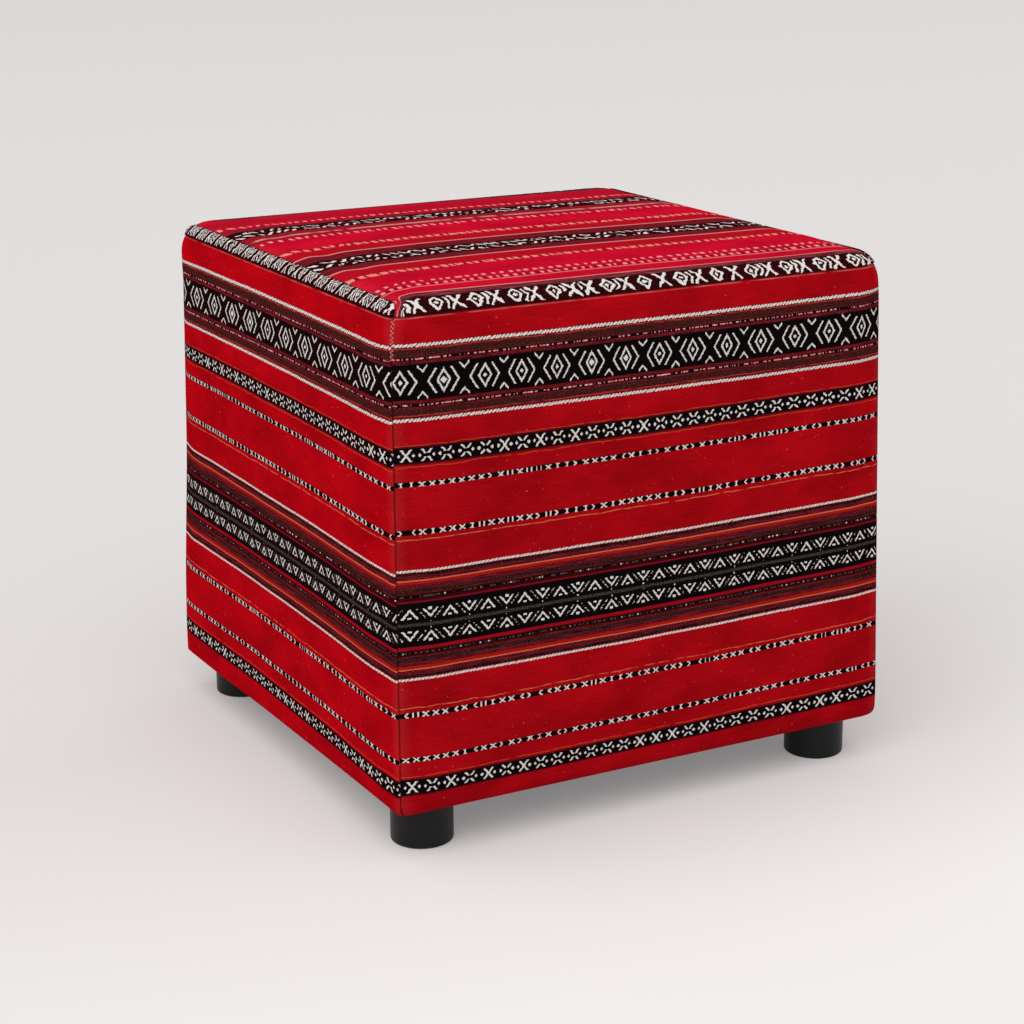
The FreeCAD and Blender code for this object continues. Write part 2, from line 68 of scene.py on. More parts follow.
def linear(screen: str) -> tuple[float, float, float, float]:
    """Turns a screen colour, "#rrggbb", into linear light for a shader socket."""
    parts = [int(screen[start:start + 2], 16) / 255.0 for start in (1, 3, 5)]
    light = [p / 12.92 if p <= 0.04045 else ((p + 0.055) / 1.055) ** 2.4 for p in parts]
    return (light[0], light[1], light[2], 1.0)


def smooth(value: Grid, low: float, high: float) -> Grid:
    """Eases from 0 at low to 1 at high."""
    share = np.clip((value - low) / (high - low), 0.0, 1.0)
    return share * share * (3.0 - 2.0 * share)


def select_only(obj: bpy.types.Object | None = None) -> None:
    """Clears the selection, and makes one object the active one if it is given."""
    bpy.ops.object.select_all(action="DESELECT")
    if obj:
        obj.select_set(True)
        bpy.context.view_layer.objects.active = obj


def thicken(obj: bpy.types.Object, thickness: float) -> None:
    """Gives the active object, a surface, its thickness towards the inside."""
    wall = obj.modifiers.new("thickness", "SOLIDIFY")
    wall.thickness = thickness
    wall.offset = -1.0
    bpy.ops.object.modifier_apply(modifier=wall.name)


def stand_in(obj: bpy.types.Object, node: str, slot: str, material: bpy.types.Material) -> None:
    """Dresses a piece and ties it to the CAD node that it stands for."""
    obj.data.materials.clear()
    obj.data.materials.append(material)
    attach(obj, BODY)
    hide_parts(node)
    LOG.info("%s stands for %s", obj.name, node)


class Dye(Enum):
    """Colours of the yarns, of wear and stitches, and of the painted shade along seams and the painted
    highlight along folds.
    """

    RED = "#ad101f"
    CARMINE = "#b30d28"
    CRIMSON = "#84112a"
    SCARLET = "#a81a10"
    ORANGE = "#d4704e"
    AMBER = "#bb4c2b"
    PEACH = "#e08a78"
    BLUSH = "#dc8a84"
    PINK = "#e59394"
    ROSE = "#a0484e"
    GARNET = "#7c1a24"
    MAROON = "#470c18"
    WINE = "#6f0b19"
    PLUM = "#4c101a"
    BROWN = "#38201a"
    OLIVE = "#301e16"
    BLACK = "#0e0a0b"
    WHITE = "#e4ded9"
    GREY = "#4e4846"
    STRAY = "#cf4a4e"
    WORN = "#e07a78"
    FOLD_HIGHLIGHT = "#dd9a8c"
    SEAM = "#24060a"
    STITCH = "#e0817c"


class Signal:
    """A number that flows through a shader tree, with plain arithmetic."""

    def __init__(self, tree: bpy.types.NodeTree, socket: bpy.types.NodeSocket) -> None:
        """Wraps one output socket of the tree."""
        self.tree = tree
        self.socket = socket

    def compute(self, operation: str, *others: Number) -> "Signal":
        """Adds one Math node, by Blender's name of its operation."""
        node = self.tree.nodes.new("ShaderNodeMath")
        node.operation = operation
        for socket, value in zip(node.inputs, (self, *others)):
            feed(self.tree, socket, value)
        return Signal(self.tree, node.outputs[0])

    def __add__(self, other: Number) -> "Signal":
        """Sum."""
        return self.compute("ADD", other)

    def __sub__(self, other: Number) -> "Signal":
        """Difference."""
        return self.compute("SUBTRACT", other)

    def __mul__(self, other: Number) -> "Signal":
        """Product."""
        return self.compute("MULTIPLY", other)

    def __abs__(self) -> "Signal":
        """Size without sign."""
        return self.compute("ABSOLUTE")

    def scaled(self, factor: Number, offset: Number) -> "Signal":
        """The signal times factor plus offset."""
        return self.compute("MULTIPLY_ADD", factor, offset)

    def swung(self, size: float) -> "Signal":
        """Random values about 0.5, turned into values about 0 of that size."""
        return self.scaled(size, -size / 2.0)

    def inverse(self) -> "Signal":
        """1 less the signal."""
        return self.scaled(-1.0, 1.0)

    def under(self, limit: Number) -> "Signal":
        """1 where the signal is less than the limit."""
        return self.compute("LESS_THAN", limit)

    def over(self, limit: Number) -> "Signal":
        """1 where the signal is more than the limit."""
        return self.compute("GREATER_THAN", limit)

    def near(self, centre: Number, reach: Number) -> "Signal":
        """1 where the signal lies within reach of centre."""
        return self.compute("COMPARE", centre, reach)

    def repeated(self, pitch: float) -> "Signal":
        """The place inside a repeat, from -pitch/2 to pitch/2."""
        return self.compute("WRAP", pitch / 2.0, -pitch / 2.0)

    def counted(self, pitch: float) -> "Signal":
        """The number of the repeat that the signal is in."""
        return self.scaled(1.0 / pitch, 0.5).compute("FLOOR")

    def stepped(self, step: float) -> "Signal":
        """The signal in whole thread steps, at the middle of each."""
        return self.compute("SNAP", step) + step / 2.0

    def sine(self, pitch: float) -> "Signal":
        """A wave of that pitch along the signal."""
        return self.scaled(math.tau / pitch, 0.0).compute("SINE")

    def either(self, other: Number) -> "Signal":
        """The larger of two signals, which joins two masks."""
        return self.compute("MAXIMUM", other)

    def clipped(self) -> "Signal":
        """The signal held between 0 and 1."""
        return self.either(0.0).compute("MINIMUM", 1.0)

    def faded(self, factor: float, offset: Number) -> "Signal":
        """The signal times factor plus offset, held between 0 and 1."""
        return self.scaled(factor, offset).clipped()


def feed(tree: bpy.types.NodeTree, socket: bpy.types.NodeSocket, value: object) -> None:
    """Links a signal or another socket to an input, or sets a constant on it."""
    source = value.socket if isinstance(value, Signal) else value
    if isinstance(source, bpy.types.NodeSocket):
        tree.links.new(source, socket)
    else:
        socket.default_value = source


class Finish:
    """A material under construction, around one principled shader."""

    # Places of the factor, the two colours and the result among the sockets of a Mix node.
    MIX_INPUTS = (0, 6, 7)
    MIX_RESULT = 2

    def __init__(self, name: str, roughness: float) -> None:
        """Starts the material with its even roughness."""
        self.material = bpy.data.materials.new(name)
        self.material.use_nodes = True
        self.tree = self.material.node_tree
        self.shader = self.tree.nodes["Principled BSDF"]
        self.set(Roughness=roughness)

    def fill(self, node: bpy.types.Node, values: dict[str, object]) -> bpy.types.Node:
        """Feeds numbers, signals or sockets to a node's inputs by name, with underscores for spaces."""
        for name, value in values.items():
            feed(self.tree, node.inputs[name.replace("_", " ")], value)
        return node

    def set(self, **values: object) -> None:
        """Feeds the shader's inputs."""
        self.fill(self.shader, values)

    def node(self, kind: str, **values: object) -> bpy.types.Node:
        """Adds one node and feeds its inputs."""
        return self.fill(self.tree.nodes.new(kind), values)

    def split(self, socket: bpy.types.NodeSocket) -> tuple[Signal, ...]:
        """Splits a vector in metres into its parts in millimetres."""
        node = self.node("ShaderNodeSeparateXYZ", Vector=socket)
        return tuple(Signal(self.tree, output) * MILLIMETRES for output in node.outputs)

    def plane(self, map_name: str) -> tuple[Signal, Signal]:
        """Reads a UV map in millimetres."""
        reader = self.node("ShaderNodeUVMap")
        reader.uv_map = map_name
        return self.split(reader.outputs[0])[:2]

    def place(self) -> tuple[Signal, ...]:
        """Reads Object coordinates in millimetres."""
        return self.split(self.node("ShaderNodeTexCoord").outputs["Object"])

    def noise(self, along: Number, across: Number, depth: Number, detail: float = 1.0) -> Signal:
        """Smooth random values about 0.5, one wave per unit of each coordinate."""
        joined = self.node("ShaderNodeCombineXYZ", X=along, Y=across, Z=depth)
        texture = self.node("ShaderNodeTexNoise", Vector=joined.outputs[0], Scale=1.0, Detail=detail)
        return Signal(self.tree, texture.outputs["Fac"])

    def chance(self, number: Signal) -> Signal:
        """An even random value from 0 to 1 for each whole number."""
        texture = self.node("ShaderNodeTexWhiteNoise")
        texture.noise_dimensions = "1D"
        feed(self.tree, texture.inputs["W"], number)
        return Signal(self.tree, texture.outputs["Value"])

    def mixed(self, share: Number, first: object, second: object, blend: str = "MIX") -> bpy.types.NodeSocket:
        """Mixes two colours, sockets or linear numbers, from the first at 0 to the second at 1."""
        node = self.node("ShaderNodeMix")
        node.data_type = "RGBA"
        node.blend_type = blend
        for place, value in zip(self.MIX_INPUTS, (share, first, second)):
            feed(self.tree, node.inputs[place], value)
        return node.outputs[self.MIX_RESULT]

    def relief(self, height: Signal, depth: float, strength: float = 1.0) -> None:
        """Gives the shader a bump of that depth in metres for a height of 1."""
        bump = self.node("ShaderNodeBump", Strength=strength, Distance=depth, Height=height)
        self.set(Normal=bump.outputs[0])


class Weave(Enum):
    """Ways in which a band of the cloth is woven."""

    PLAIN = "one yarn"
    HEATHER = "two yarns, mixed in streaks"
    DASHED = "short broken floats"
    FLOATS = "even row of floats"
    ROPE = "pale cord of slanted strands"
    WAVY = "thin loose thread"
    DIAMOND = "diamonds in brackets"
    CHEVRON = "rows of chevrons"
    CROSS = "crosses and dots"
    SMALL_CROSS = "small crosses and bars"
    STROKES = "rows of slanted strokes"
    BORDER = "crosses and diamonds by turns"


@dataclass(frozen=True)
class Band:
    """One stripe of the cloth, in millimetres across the cloth.

    The lean is how far its motifs sit from its middle, so that an edge cuts them.
    """

    weave: Weave
    centre: float
    width: float
    dye: Dye = Dye.BLACK
    second: Dye = Dye.WHITE
    lean: float = 0.0


def stripe(weave: Weave, low: float, high: float, dye: Dye = Dye.BLACK, second: Dye = Dye.WHITE,
           lean: float = 0.0) -> Band:
    """A band given by its two edges."""
    return Band(weave, (low + high) / 2.0, high - low, dye, second, lean)


def side_bands() -> tuple[Band, ...]:
    """Stripes of the upright cloth, from the seat seam down to the hem."""
    plain, heather, dashed, rope, wavy = Weave.PLAIN, Weave.HEATHER, Weave.DASHED, Weave.ROPE, Weave.WAVY
    return (
        Band(rope, 403.3, 2.7),
        stripe(heather, 389.0, 401.6, Dye.PLUM, Dye.GARNET), Band(wavy, 400.9, 0.6, Dye.AMBER),
        stripe(heather, 395.4, 399.8, Dye.OLIVE, Dye.PLUM),
        Band(dashed, 393.2, 2.4, Dye.BLACK, Dye.BLUSH), Band(plain, 390.2, 0.9, Dye.CRIMSON),
        stripe(Weave.DIAMOND, 362.6, 389.4),
        stripe(heather, 349.6, 362.4, Dye.PLUM, Dye.GARNET), Band(plain, 361.3, 0.9, Dye.CRIMSON),
        Band(dashed, 359.0, 2.4, Dye.BLACK, Dye.BLUSH),
        stripe(heather, 352.0, 356.2, Dye.OLIVE, Dye.PLUM), Band(wavy, 351.0, 0.6, Dye.AMBER),
        Band(rope, 347.8, 2.5),
        Band(wavy, 328.8, 0.6, Dye.AMBER),
        stripe(plain, 314.0, 328.0, Dye.MAROON),
        stripe(Weave.CROSS, 315.2, 326.9),
        Band(wavy, 312.6, 0.7, Dye.AMBER),
        stripe(Weave.SMALL_CROSS, 297.3, 301.1, lean=-0.4),
        stripe(Weave.SMALL_CROSS, 260.4, 264.4),
        Band(wavy, 256.6, 0.8, Dye.ORANGE),
        Band(rope, 232.4, 1.8),
        stripe(heather, 225.4, 231.0, Dye.PLUM, Dye.GARNET),
        stripe(heather, 214.6, 222.2, Dye.PLUM, Dye.GARNET),
        stripe(heather, 228.8, 231.0, Dye.BLACK, Dye.BROWN),
        stripe(heather, 215.4, 218.2, Dye.BROWN, Dye.BLACK),
        stripe(plain, 222.2, 225.0, Dye.SCARLET), Band(plain, 225.0, 1.2, Dye.ORANGE),
        stripe(plain, 207.0, 214.6, Dye.BLACK), Band(dashed, 212.6, 1.8, Dye.BLACK, Dye.GREY),
        Band(plain, 208.6, 1.2, Dye.CRIMSON),
        stripe(Weave.CHEVRON, 173.5, 207.4),
        Band(plain, 172.3, 1.2, Dye.CRIMSON),
        stripe(plain, 166.2, 171.0, Dye.BLACK), Band(dashed, 168.7, 1.8, Dye.BLACK, Dye.GREY),
        stripe(heather, 158.4, 166.4, Dye.PLUM, Dye.GARNET),
        stripe(heather, 149.0, 155.0, Dye.PLUM, Dye.GARNET),
        stripe(heather, 161.8, 164.8, Dye.BROWN, Dye.BLACK),
        stripe(heather, 149.0, 151.4, Dye.BLACK, Dye.BROWN),
        stripe(plain, 155.8, 158.4, Dye.SCARLET), Band(plain, 155.3, 1.2, Dye.ORANGE),
        Band(rope, 147.5, 1.8),
        Band(wavy, 124.2, 0.8, Dye.ORANGE),
        stripe(Weave.SMALL_CROSS, 116.6, 120.6),
        stripe(Weave.SMALL_CROSS, 80.8, 84.6, lean=0.2),
        Band(wavy, 69.2, 0.7, Dye.AMBER),
        stripe(plain, 53.2, 67.4, Dye.MAROON),
        stripe(Weave.CROSS, 54.4, 66.4),
    )


def seat_bands() -> tuple[Band, ...]:
    """Stripes of the seat panel, from the front edge to the back, about the middle of the seat."""
    plain, heather, floats = Weave.PLAIN, Weave.HEATHER, Weave.FLOATS
    return (
        stripe(Weave.BORDER, -227.0, -208.0, lean=0.8),
        stripe(heather, -208.0, -199.6, Dye.MAROON, Dye.ROSE),
        Band(plain, -198.4, 1.8, Dye.BLUSH), Band(plain, -184.4, 1.3, Dye.BLUSH),
        stripe(floats, -181.4, -176.8, Dye.PINK, Dye.WINE),
        stripe(floats, -171.6, -167.6, Dye.PINK, Dye.CARMINE),
        stripe(floats, -134.0, -123.6, Dye.PEACH, Dye.CARMINE),
        stripe(plain, -122.0, -102.0, Dye.RED), Band(plain, -99.5, 3.0, Dye.BLUSH),
        stripe(heather, -97.6, -81.0, Dye.GARNET, Dye.MAROON),
        stripe(Weave.STROKES, -81.6, -51.0),
        stripe(heather, -51.4, -32.4, Dye.GARNET, Dye.MAROON),
        Band(plain, -30.2, 3.0, Dye.BLUSH), stripe(plain, -28.6, -10.4, Dye.RED),
        stripe(floats, -7.8, 3.6, Dye.PEACH, Dye.CARMINE),
        stripe(floats, 44.4, 53.0, Dye.PINK, Dye.CARMINE),
        stripe(heather, 56.0, 84.0, Dye.GARNET, Dye.CARMINE), Band(Weave.WAVY, 66.0, 6.0, Dye.BLUSH),
        stripe(Weave.STROKES, 83.6, 115.6, lean=-1.5),
        stripe(heather, 115.4, 131.0, Dye.GARNET, Dye.CARMINE),
        stripe(floats, 133.4, 143.6, Dye.PINK, Dye.CARMINE),
        stripe(heather, 150.0, 176.0, Dye.CARMINE, Dye.RED),
        stripe(heather, 193.0, 203.4, Dye.MAROON, Dye.ROSE), stripe(Weave.BORDER, 203.4, 232.4, lean=-2.0),
    )


def strip_bands() -> tuple[Band, ...]:
    """Stripes along a border strip, from the side seam up to the seat."""
    return (stripe(Weave.BORDER, -1.0, 14.0, lean=0.2),)


@dataclass(frozen=True)
class Drift:
    """How a row of motifs stretches along its panel, in millimetres from the middle.

    Beyond left and right, motifs widen by a share of the distance and by its square. Beyond
    slip_at, the whole row is moved on by slip.
    """

    left: float = 0.0
    left_share: float = 0.0
    left_bend: float = 0.0
    right: float = 0.0
    right_share: float = 0.0
    right_bend: float = 0.0
    slip_at: float = 0.0
    slip: float = 0.0

    def follow(self, along: Signal) -> Signal:
        """Turns places along the panel into places along the row as it was woven."""
        woven = along
        for sign, start, share, bend in ((-1.0, self.left, self.left_share, self.left_bend),
                                         (1.0, self.right, self.right_share, self.right_bend)):
            if share or bend:
                beyond = ((along - start) * sign).either(0.0)
                woven = woven - beyond * beyond.scaled(bend, share) * sign
        if self.slip:
            woven = woven + along.over(self.slip_at) * self.slip
        return woven


@dataclass(frozen=True)
class Repeat:
    """One row's repeat along the stripes, in millimetres."""

    pitch: float
    shift: float = 0.0
    drift: Drift = Drift()


@dataclass(frozen=True)
class StripedCloth:
    """The striped cloth as it lies on one kind of panel."""

    name: str
    bands: tuple[Band, ...]
    # Ground colour of the panel; the reds differ by panel partly as painted light.
    red: str
    repeats: dict[Weave, Repeat]
    # Share of the painted highlight along the folded top edge; it also turns the stitches on.
    fold_highlight: float = 0.0
    flanks: float = 1.0
    glyph_reach: float = 7.3

    def dress(self) -> bpy.types.Material:
        """Builds the material."""
        finish = Finish(self.name, roughness=0.95)
        finish.set(Specular_IOR_Level=0.0, Sheen_Weight=0.05, Sheen_Roughness=0.4,
                   Sheen_Tint=(0.55, 0.02, 0.04, 1.0))
        painter = ClothPainter(finish, self)
        painter.weave_ground()
        painter.weave_bands()
        painter.sew_edges()
        painter.finish_surface()
        return finish.material


class Layer(Enum):
    """Layers of random values in a cloth: waves per millimetre along and across, depth and detail."""

    WANDER = (0.016, 0.02, 3.0)
    CLOUD = (0.018, 0.03, 5.0, 3.0)
    FRAY = (1.1, 0.35, 7.0)
    FLECK = (0.55, 1.5, 11.0, 2.0)
    GRIT = (1.1, 1.1, 13.0)
    STREAK = (0.05, 1.1, 17.0, 2.0)
    SPARSE = (0.03, 0.03, 19.0)
    DASH = (0.42, 0.03, 23.0)
    CORD_PLACE = (0.16, 0.02, 29.0)
    LOOSE_PATH = (0.07, 0.11, 31.0, 3.0)
    LOOSE_BREAK = (0.09, 0.07, 37.0, 3.0)
    FLANK = (0.5, 0.5, 41.0)
    FIBRE = (1.3, 1.3, 43.0)
    FLOAT_PLACE = (0.09, 0.05, 47.0)
    CLUMP = (0.14, 0.05, 53.0)
    FOLD_HIGHLIGHT = (0.05, 1.0, 59.0)
    SWAY = (0.2, 0.2, 61.0)
    BOUNCE = (0.2, 0.2, 63.0)
    FLOAT_SIZE = (0.23, 0.08, 67.0)
    CORD_SIZE = (0.3, 0.02, 71.0)
    SPECK = (0.30, 0.38, 83.0)


@dataclass(frozen=True)
class Spot:
    """A point of a motif row: its place in the repeat, its height in the row and the repeat's number."""

    place: Signal
    height: Signal
    cell: Signal
    pitch: float

    def mirrored(self) -> tuple[Signal, Signal, Signal]:
        """Distances from the repeat's middle, from the row's middle and from the repeat's end."""
        side = abs(self.place)
        return side, abs(self.height), side.scaled(-1.0, self.pitch / 2.0)


def slant(side: Signal, level: Signal, slope: Number, foot: float, half: float) -> Signal:
    """1 on a line of that half width, from its foot on the side back by slope for each unit of level."""
    return level.scaled(slope, side).near(foot, half)


class ClothPainter:
    """Lays the bands of one cloth over each other in shader nodes, in millimetres."""

    THREAD = 0.66
    THIN_STRIPE = 3.6
    FLOAT_PITCH = 7.4
    STRAND_PITCH = 3.1
    STROKE_PITCH = 14.8
    STITCH_PITCH = 3.2
    SEAM_SHADE = 0.8
    RIB_PITCH = 1.6
    RIB_SLOPE = 0.85
    RIB_DEPTH = 0.00025
    # Rows of motifs this far apart draw their chances from numbers that far apart.
    ROW_PITCH, ROW_STEP = 19.0, 37.0
    DRAWN_PITCH = {Weave.DIAMOND: 30.2, Weave.CHEVRON: 29.1, Weave.CROSS: 15.25}
    BORDER_PITCH, BORDER_REACH = 33.0, 8.2
    WOBBLE = {Weave.BORDER: 4.6, Weave.STROKES: 4.0}
    STEADY = 0.8
    LIT, DARK = 1.20, 0.74

    def __init__(self, finish: Finish, cloth: StripedCloth) -> None:
        """Prepares the shared coordinates and random layers."""
        self.finish = finish
        self.cloth = cloth
        self.along, self.across = finish.plane(CLOTH_MAP)
        self.beside, self.below = finish.plane(SEAM_MAP)
        self.fleck, self.streak, self.grit = map(self.noise, (Layer.FLECK, Layer.STREAK, Layer.GRIT))
        fray = self.noise(Layer.FRAY).swung(0.8)
        self.across = self.across + self.noise(Layer.WANDER).swung(1.4) + fray
        self.colour: bpy.types.NodeSocket | None = None

    def noise(self, layer: Layer, across: "Number | None" = None) -> Signal:
        """Random values of one layer, at another place across the cloth if that is given."""
        waves_along, waves_across, *depth_and_detail = layer.value
        place = self.across if across is None else across
        return self.finish.noise(self.along * waves_along, place * waves_across, *depth_and_detail)

    def paint(self, mask: Number, dye: Dye) -> None:
        """Lays one yarn where the mask is 1."""
        self.colour = self.finish.mixed(mask, self.colour, linear(dye.value))

    def weave_ground(self) -> None:
        """Colours the ground in the panel's red, partly painted light, uneven along its threads, with stray
        pale fibres.
        """
        red = linear(self.cloth.red)[:3]
        dark, lit = ((*(min(1.0, part * share) for part in red), 1.0) for share in (self.DARK, self.LIT))
        uneven = self.streak.faded(1.4, self.noise(Layer.CLOUD).scaled(2.2, -1.3))
        self.colour = self.finish.mixed(uneven, dark, lit)
        sparse = self.noise(Layer.SPARSE).scaled(0.16, 0.62)
        stray = self.grit.over(0.80).either((self.grit - sparse).over(0.10))
        self.paint(stray * 0.5, Dye.STRAY)
        worn = self.beside.faded(-0.11, 1.1) * self.grit.faded(4.0, -1.5)
        self.paint(worn * 0.09, Dye.WORN)
        self.paint(self.noise(Layer.SPECK).over(0.755) * 0.32, Dye.WORN)

    def local(self, bands: Iterable[Band]) -> tuple[Signal, Signal]:
        """Joins bands that don't overlap into a mask, and into the place across the band at each point."""
        total: Signal | None = None
        centre: Signal | None = None
        for band in bands:
            mask = self.across.near(band.centre, band.width / 2.0)
            middle = band.centre + band.lean
            total = mask if total is None else total + mask
            centre = mask * middle if centre is None else mask.scaled(middle, centre)
        return total, self.across - centre

    def weave_bands(self) -> None:
        """Weaves every band, grounds first and motifs after."""
        makers: dict[Weave, Callable[[list[Band]], None]] = {
            Weave.PLAIN: self.weave_plain, Weave.HEATHER: self.weave_heather,
            Weave.DASHED: self.weave_dashed, Weave.FLOATS: self.weave_floats,
            Weave.ROPE: self.weave_rope, Weave.WAVY: self.weave_wavy}
        for weave in Weave:
            bands = [band for band in self.cloth.bands if band.weave is weave]
            if bands and weave in makers:
                makers[weave](bands)
            elif bands:
                self.weave_motifs(weave, bands)

    def by_dyes(self, bands: list[Band]) -> Iterator[tuple[Dye, Dye, Signal, Signal]]:
        """Joins the bands that share their two yarns, one group at a time."""
        for dyes in dict.fromkeys((band.dye, band.second) for band in bands):
            yield *dyes, *self.local(band for band in bands if (band.dye, band.second) == dyes)

    def weave_plain(self, bands: list[Band]) -> None:
        """Single-yarn stripes, wide ones first."""
        wide = [band for band in bands if band.width > self.THIN_STRIPE]
        for chosen in (wide, [band for band in bands if band not in wide]):
            for dye, _, mask, _ in self.by_dyes(chosen):
                self.paint(mask * self.grit.faded(0.7, 0.55), dye)

    def weave_heather(self, bands: list[Band]) -> None:
        """Two yarns mixed in streaks, with stray red fibres."""
        for dye, second, mask, _ in self.by_dyes(bands):
            self.paint(mask, dye)
            self.paint(mask * self.streak.faded(9.0, -4.2) * 0.85, second)
            self.paint(mask * self.fleck.faded(9.0, -5.2) * 0.55, Dye.ROSE)
            self.paint(mask * self.grit.faded(9.0, -5.4) * 0.5, Dye.BLACK)

    def weave_dashed(self, bands: list[Band]) -> None:
        """Pale floats that come and go on a dark ground."""
        gate = self.noise(Layer.DASH)
        for dye, second, mask, offset in self.by_dyes(bands):
            self.paint(mask, dye)
            floats = mask * gate.over(0.51) * abs(offset).under(0.55)
            self.paint(floats, second)
            self.paint(floats * gate.over(0.66), Dye.WHITE)

    def weave_floats(self, bands: list[Band]) -> None:
        """Even rows of pale floats, the peach ones longer and with dark gaps."""
        jitter = self.noise(Layer.FLOAT_PLACE).swung(9.0)
        place = abs((self.along + jitter).repeated(self.FLOAT_PITCH))
        loose = self.noise(Layer.FLOAT_SIZE)
        for dye, second, mask, offset in self.by_dyes(bands):
            level = abs(offset)
            peach = dye is Dye.PEACH
            self.paint(mask * 0.75, second)
            if peach:
                self.paint(mask * level.under(2.3) * 0.8, Dye.WINE)
            length, width = loose.scaled(2.8, 0.8 if peach else 0.1), loose.scaled(6.6, 0.4)
            self.paint(mask * place.under(length) * level.under(width), dye)

    def weave_rope(self, bands: list[Band]) -> None:
        """Pale cords of slanted strands, dark in between."""
        mask, offset = self.local(bands)
        self.paint(mask, Dye.BLACK)
        loose = self.noise(Layer.CORD_PLACE).swung(7.0)
        turn = abs((self.along + loose).scaled(1.0, offset * -0.95).repeated(self.STRAND_PITCH))
        thick = self.noise(Layer.CORD_SIZE).scaled(0.9, 1.05)
        cord = mask * turn.scaled(0.55, abs(offset)).under(thick)
        self.paint(cord, Dye.WHITE)
        self.paint(cord * turn.over(1.1) * 0.75, Dye.GREY)

    def weave_wavy(self, bands: list[Band]) -> None:
        """Thin loose threads that wander and break off."""
        for band in bands:
            path = self.noise(Layer.LOOSE_PATH, band.centre).swung(3.0)
            gate = self.noise(Layer.LOOSE_BREAK, band.centre).faded(6.0, -2.1)
            line = (self.across - band.centre + path).near(0.0, band.width / 2.0)
            self.paint(line * gate * 0.85, band.dye)

    def weave_motifs(self, weave: Weave, bands: list[Band]) -> None:
        """White motifs on a black band."""
        shapes: dict[Weave, Callable[[Spot], Signal]] = {
            Weave.DIAMOND: self.diamonds, Weave.CHEVRON: self.chevrons, Weave.CROSS: self.crosses,
            Weave.SMALL_CROSS: self.small_crosses, Weave.STROKES: self.strokes, Weave.BORDER: self.border}
        mask, offset = self.local(bands)
        self.paint(mask, Dye.BLACK)
        repeat = self.cloth.repeats[weave]
        pitch = self.DRAWN_PITCH.get(weave, repeat.pitch)
        wobble = self.WOBBLE.get(weave, self.STEADY)
        sway, bounce = (self.noise(layer).swung(wobble) for layer in (Layer.SWAY, Layer.BOUNCE))
        shifted = repeat.drift.follow(self.along) - repeat.shift
        cell = shifted.counted(repeat.pitch) + self.across.counted(self.ROW_PITCH) * self.ROW_STEP
        place = (shifted + sway).stepped(self.THREAD).repeated(repeat.pitch) * (pitch / repeat.pitch)
        height = (offset + bounce).stepped(self.THREAD)
        if weave in (Weave.BORDER, Weave.STROKES):
            self.paint(mask * self.fleck.faded(8.0, -4.2) * 0.8, Dye.WINE)
        if weave is Weave.CHEVRON:
            self.paint(mask * abs(offset).under(1.25) * self.fleck.faded(3.0, -1.0), Dye.GREY)
        drawn = shapes[weave](Spot(place, height, cell, pitch)).clipped()
        self.paint(mask * drawn * self.fleck.faded(5.0, -0.9), Dye.WHITE)

    def diamonds(self, spot: Spot) -> Signal:
        """A dotted diamond between brackets, and small chevrons between repeats."""
        side, level, end = spot.mirrored()
        outline = slant(side, level, slope=0.58, foot=4.6, half=0.76) * level.under(9.3)
        bracket = slant(side, level, slope=0.61, foot=11.0, half=0.72) * level.under(9.0)
        dot_size = self.finish.chance(spot.cell).over(0.85).scaled(0.8, 1.5)
        dot = (side + level * 0.8).under(dot_size)
        small = slant(level, end, slope=-1.15, foot=7.6, half=0.88) * end.under(3.6)
        return outline + bracket + dot + small

    def chevrons(self, spot: Spot) -> Signal:
        """Chevrons by turns up and down, with dots, mirrored about a grey line."""
        side, level, end = spot.mirrored()
        peak = slant(side, level, slope=0.76, foot=8.8, half=0.84) * level.near(8.7, 4.3)
        valley = slant(end, level, slope=-0.82, foot=-5.1, half=0.82) * level.near(8.8, 3.9)
        dots = side.under(1.35) * level.near(5.4, 0.8) + end.under(1.3) * level.near(12.1, 0.85)
        broken = self.noise(Layer.FLANK).over(0.52)
        flank = slant(end, level, slope=-0.82, foot=-0.5, half=0.45) * level.near(8.6, 4.0)
        tick = end.under(0.5) * level.near(2.6, 0.9)
        return peak + valley + dots + (flank + tick) * broken * self.cloth.flanks

    def crosses(self, spot: Spot) -> Signal:
        """Crosses with a dot at each side, most with an open middle."""
        side, level, _ = spot.mirrored()
        arms = slant(side, level, slope=-0.78, foot=0.0, half=0.9) * level.under(4.7)
        gap = self.finish.chance(spot.cell).over(0.2) * level.under(1.0)
        dots = abs(side - 5.2).scaled(1.0, level * 0.9).under(1.35)
        return arms * gap.inverse() + dots

    def small_crosses(self, spot: Spot) -> Signal:
        """Small crosses, half crosses and bars in a random order."""
        side, level, _ = spot.mirrored()
        kind = self.finish.chance(spot.cell)
        left_half, right_half, barred = kind.near(0.60, 0.05), kind.near(0.70, 0.05), kind.over(0.75)
        cut = (left_half * spot.place.under(-0.3)).either(right_half * spot.place.over(0.3))
        arms = slant(side, level, slope=-1.2, foot=0.0, half=0.82) * cut.inverse()
        single = side.under(0.65).either(side.under(1.5) * level.over(1.5))
        double = side.near(2.0, 0.6)
        bar = single * kind.under(0.91) + double * kind.over(0.91)
        return (arms * barred.inverse() + bar * barred) * level.under(2.1)

    def strokes(self, spot: Spot) -> Signal:
        """Short slanted strokes in rows, thick and thin."""
        row = spot.height.scaled(1.0, self.STROKE_PITCH / 2.0).repeated(self.STROKE_PITCH)
        lean = self.finish.chance(spot.cell).over(0.5).swung(1.2)
        stroke = slant(spot.place, row, lean, foot=0.0, half=1.45)
        clump = self.noise(Layer.CLUMP).over(0.45)
        return stroke * abs(row).under(5.0) * abs(spot.height).under(10.8) * clump

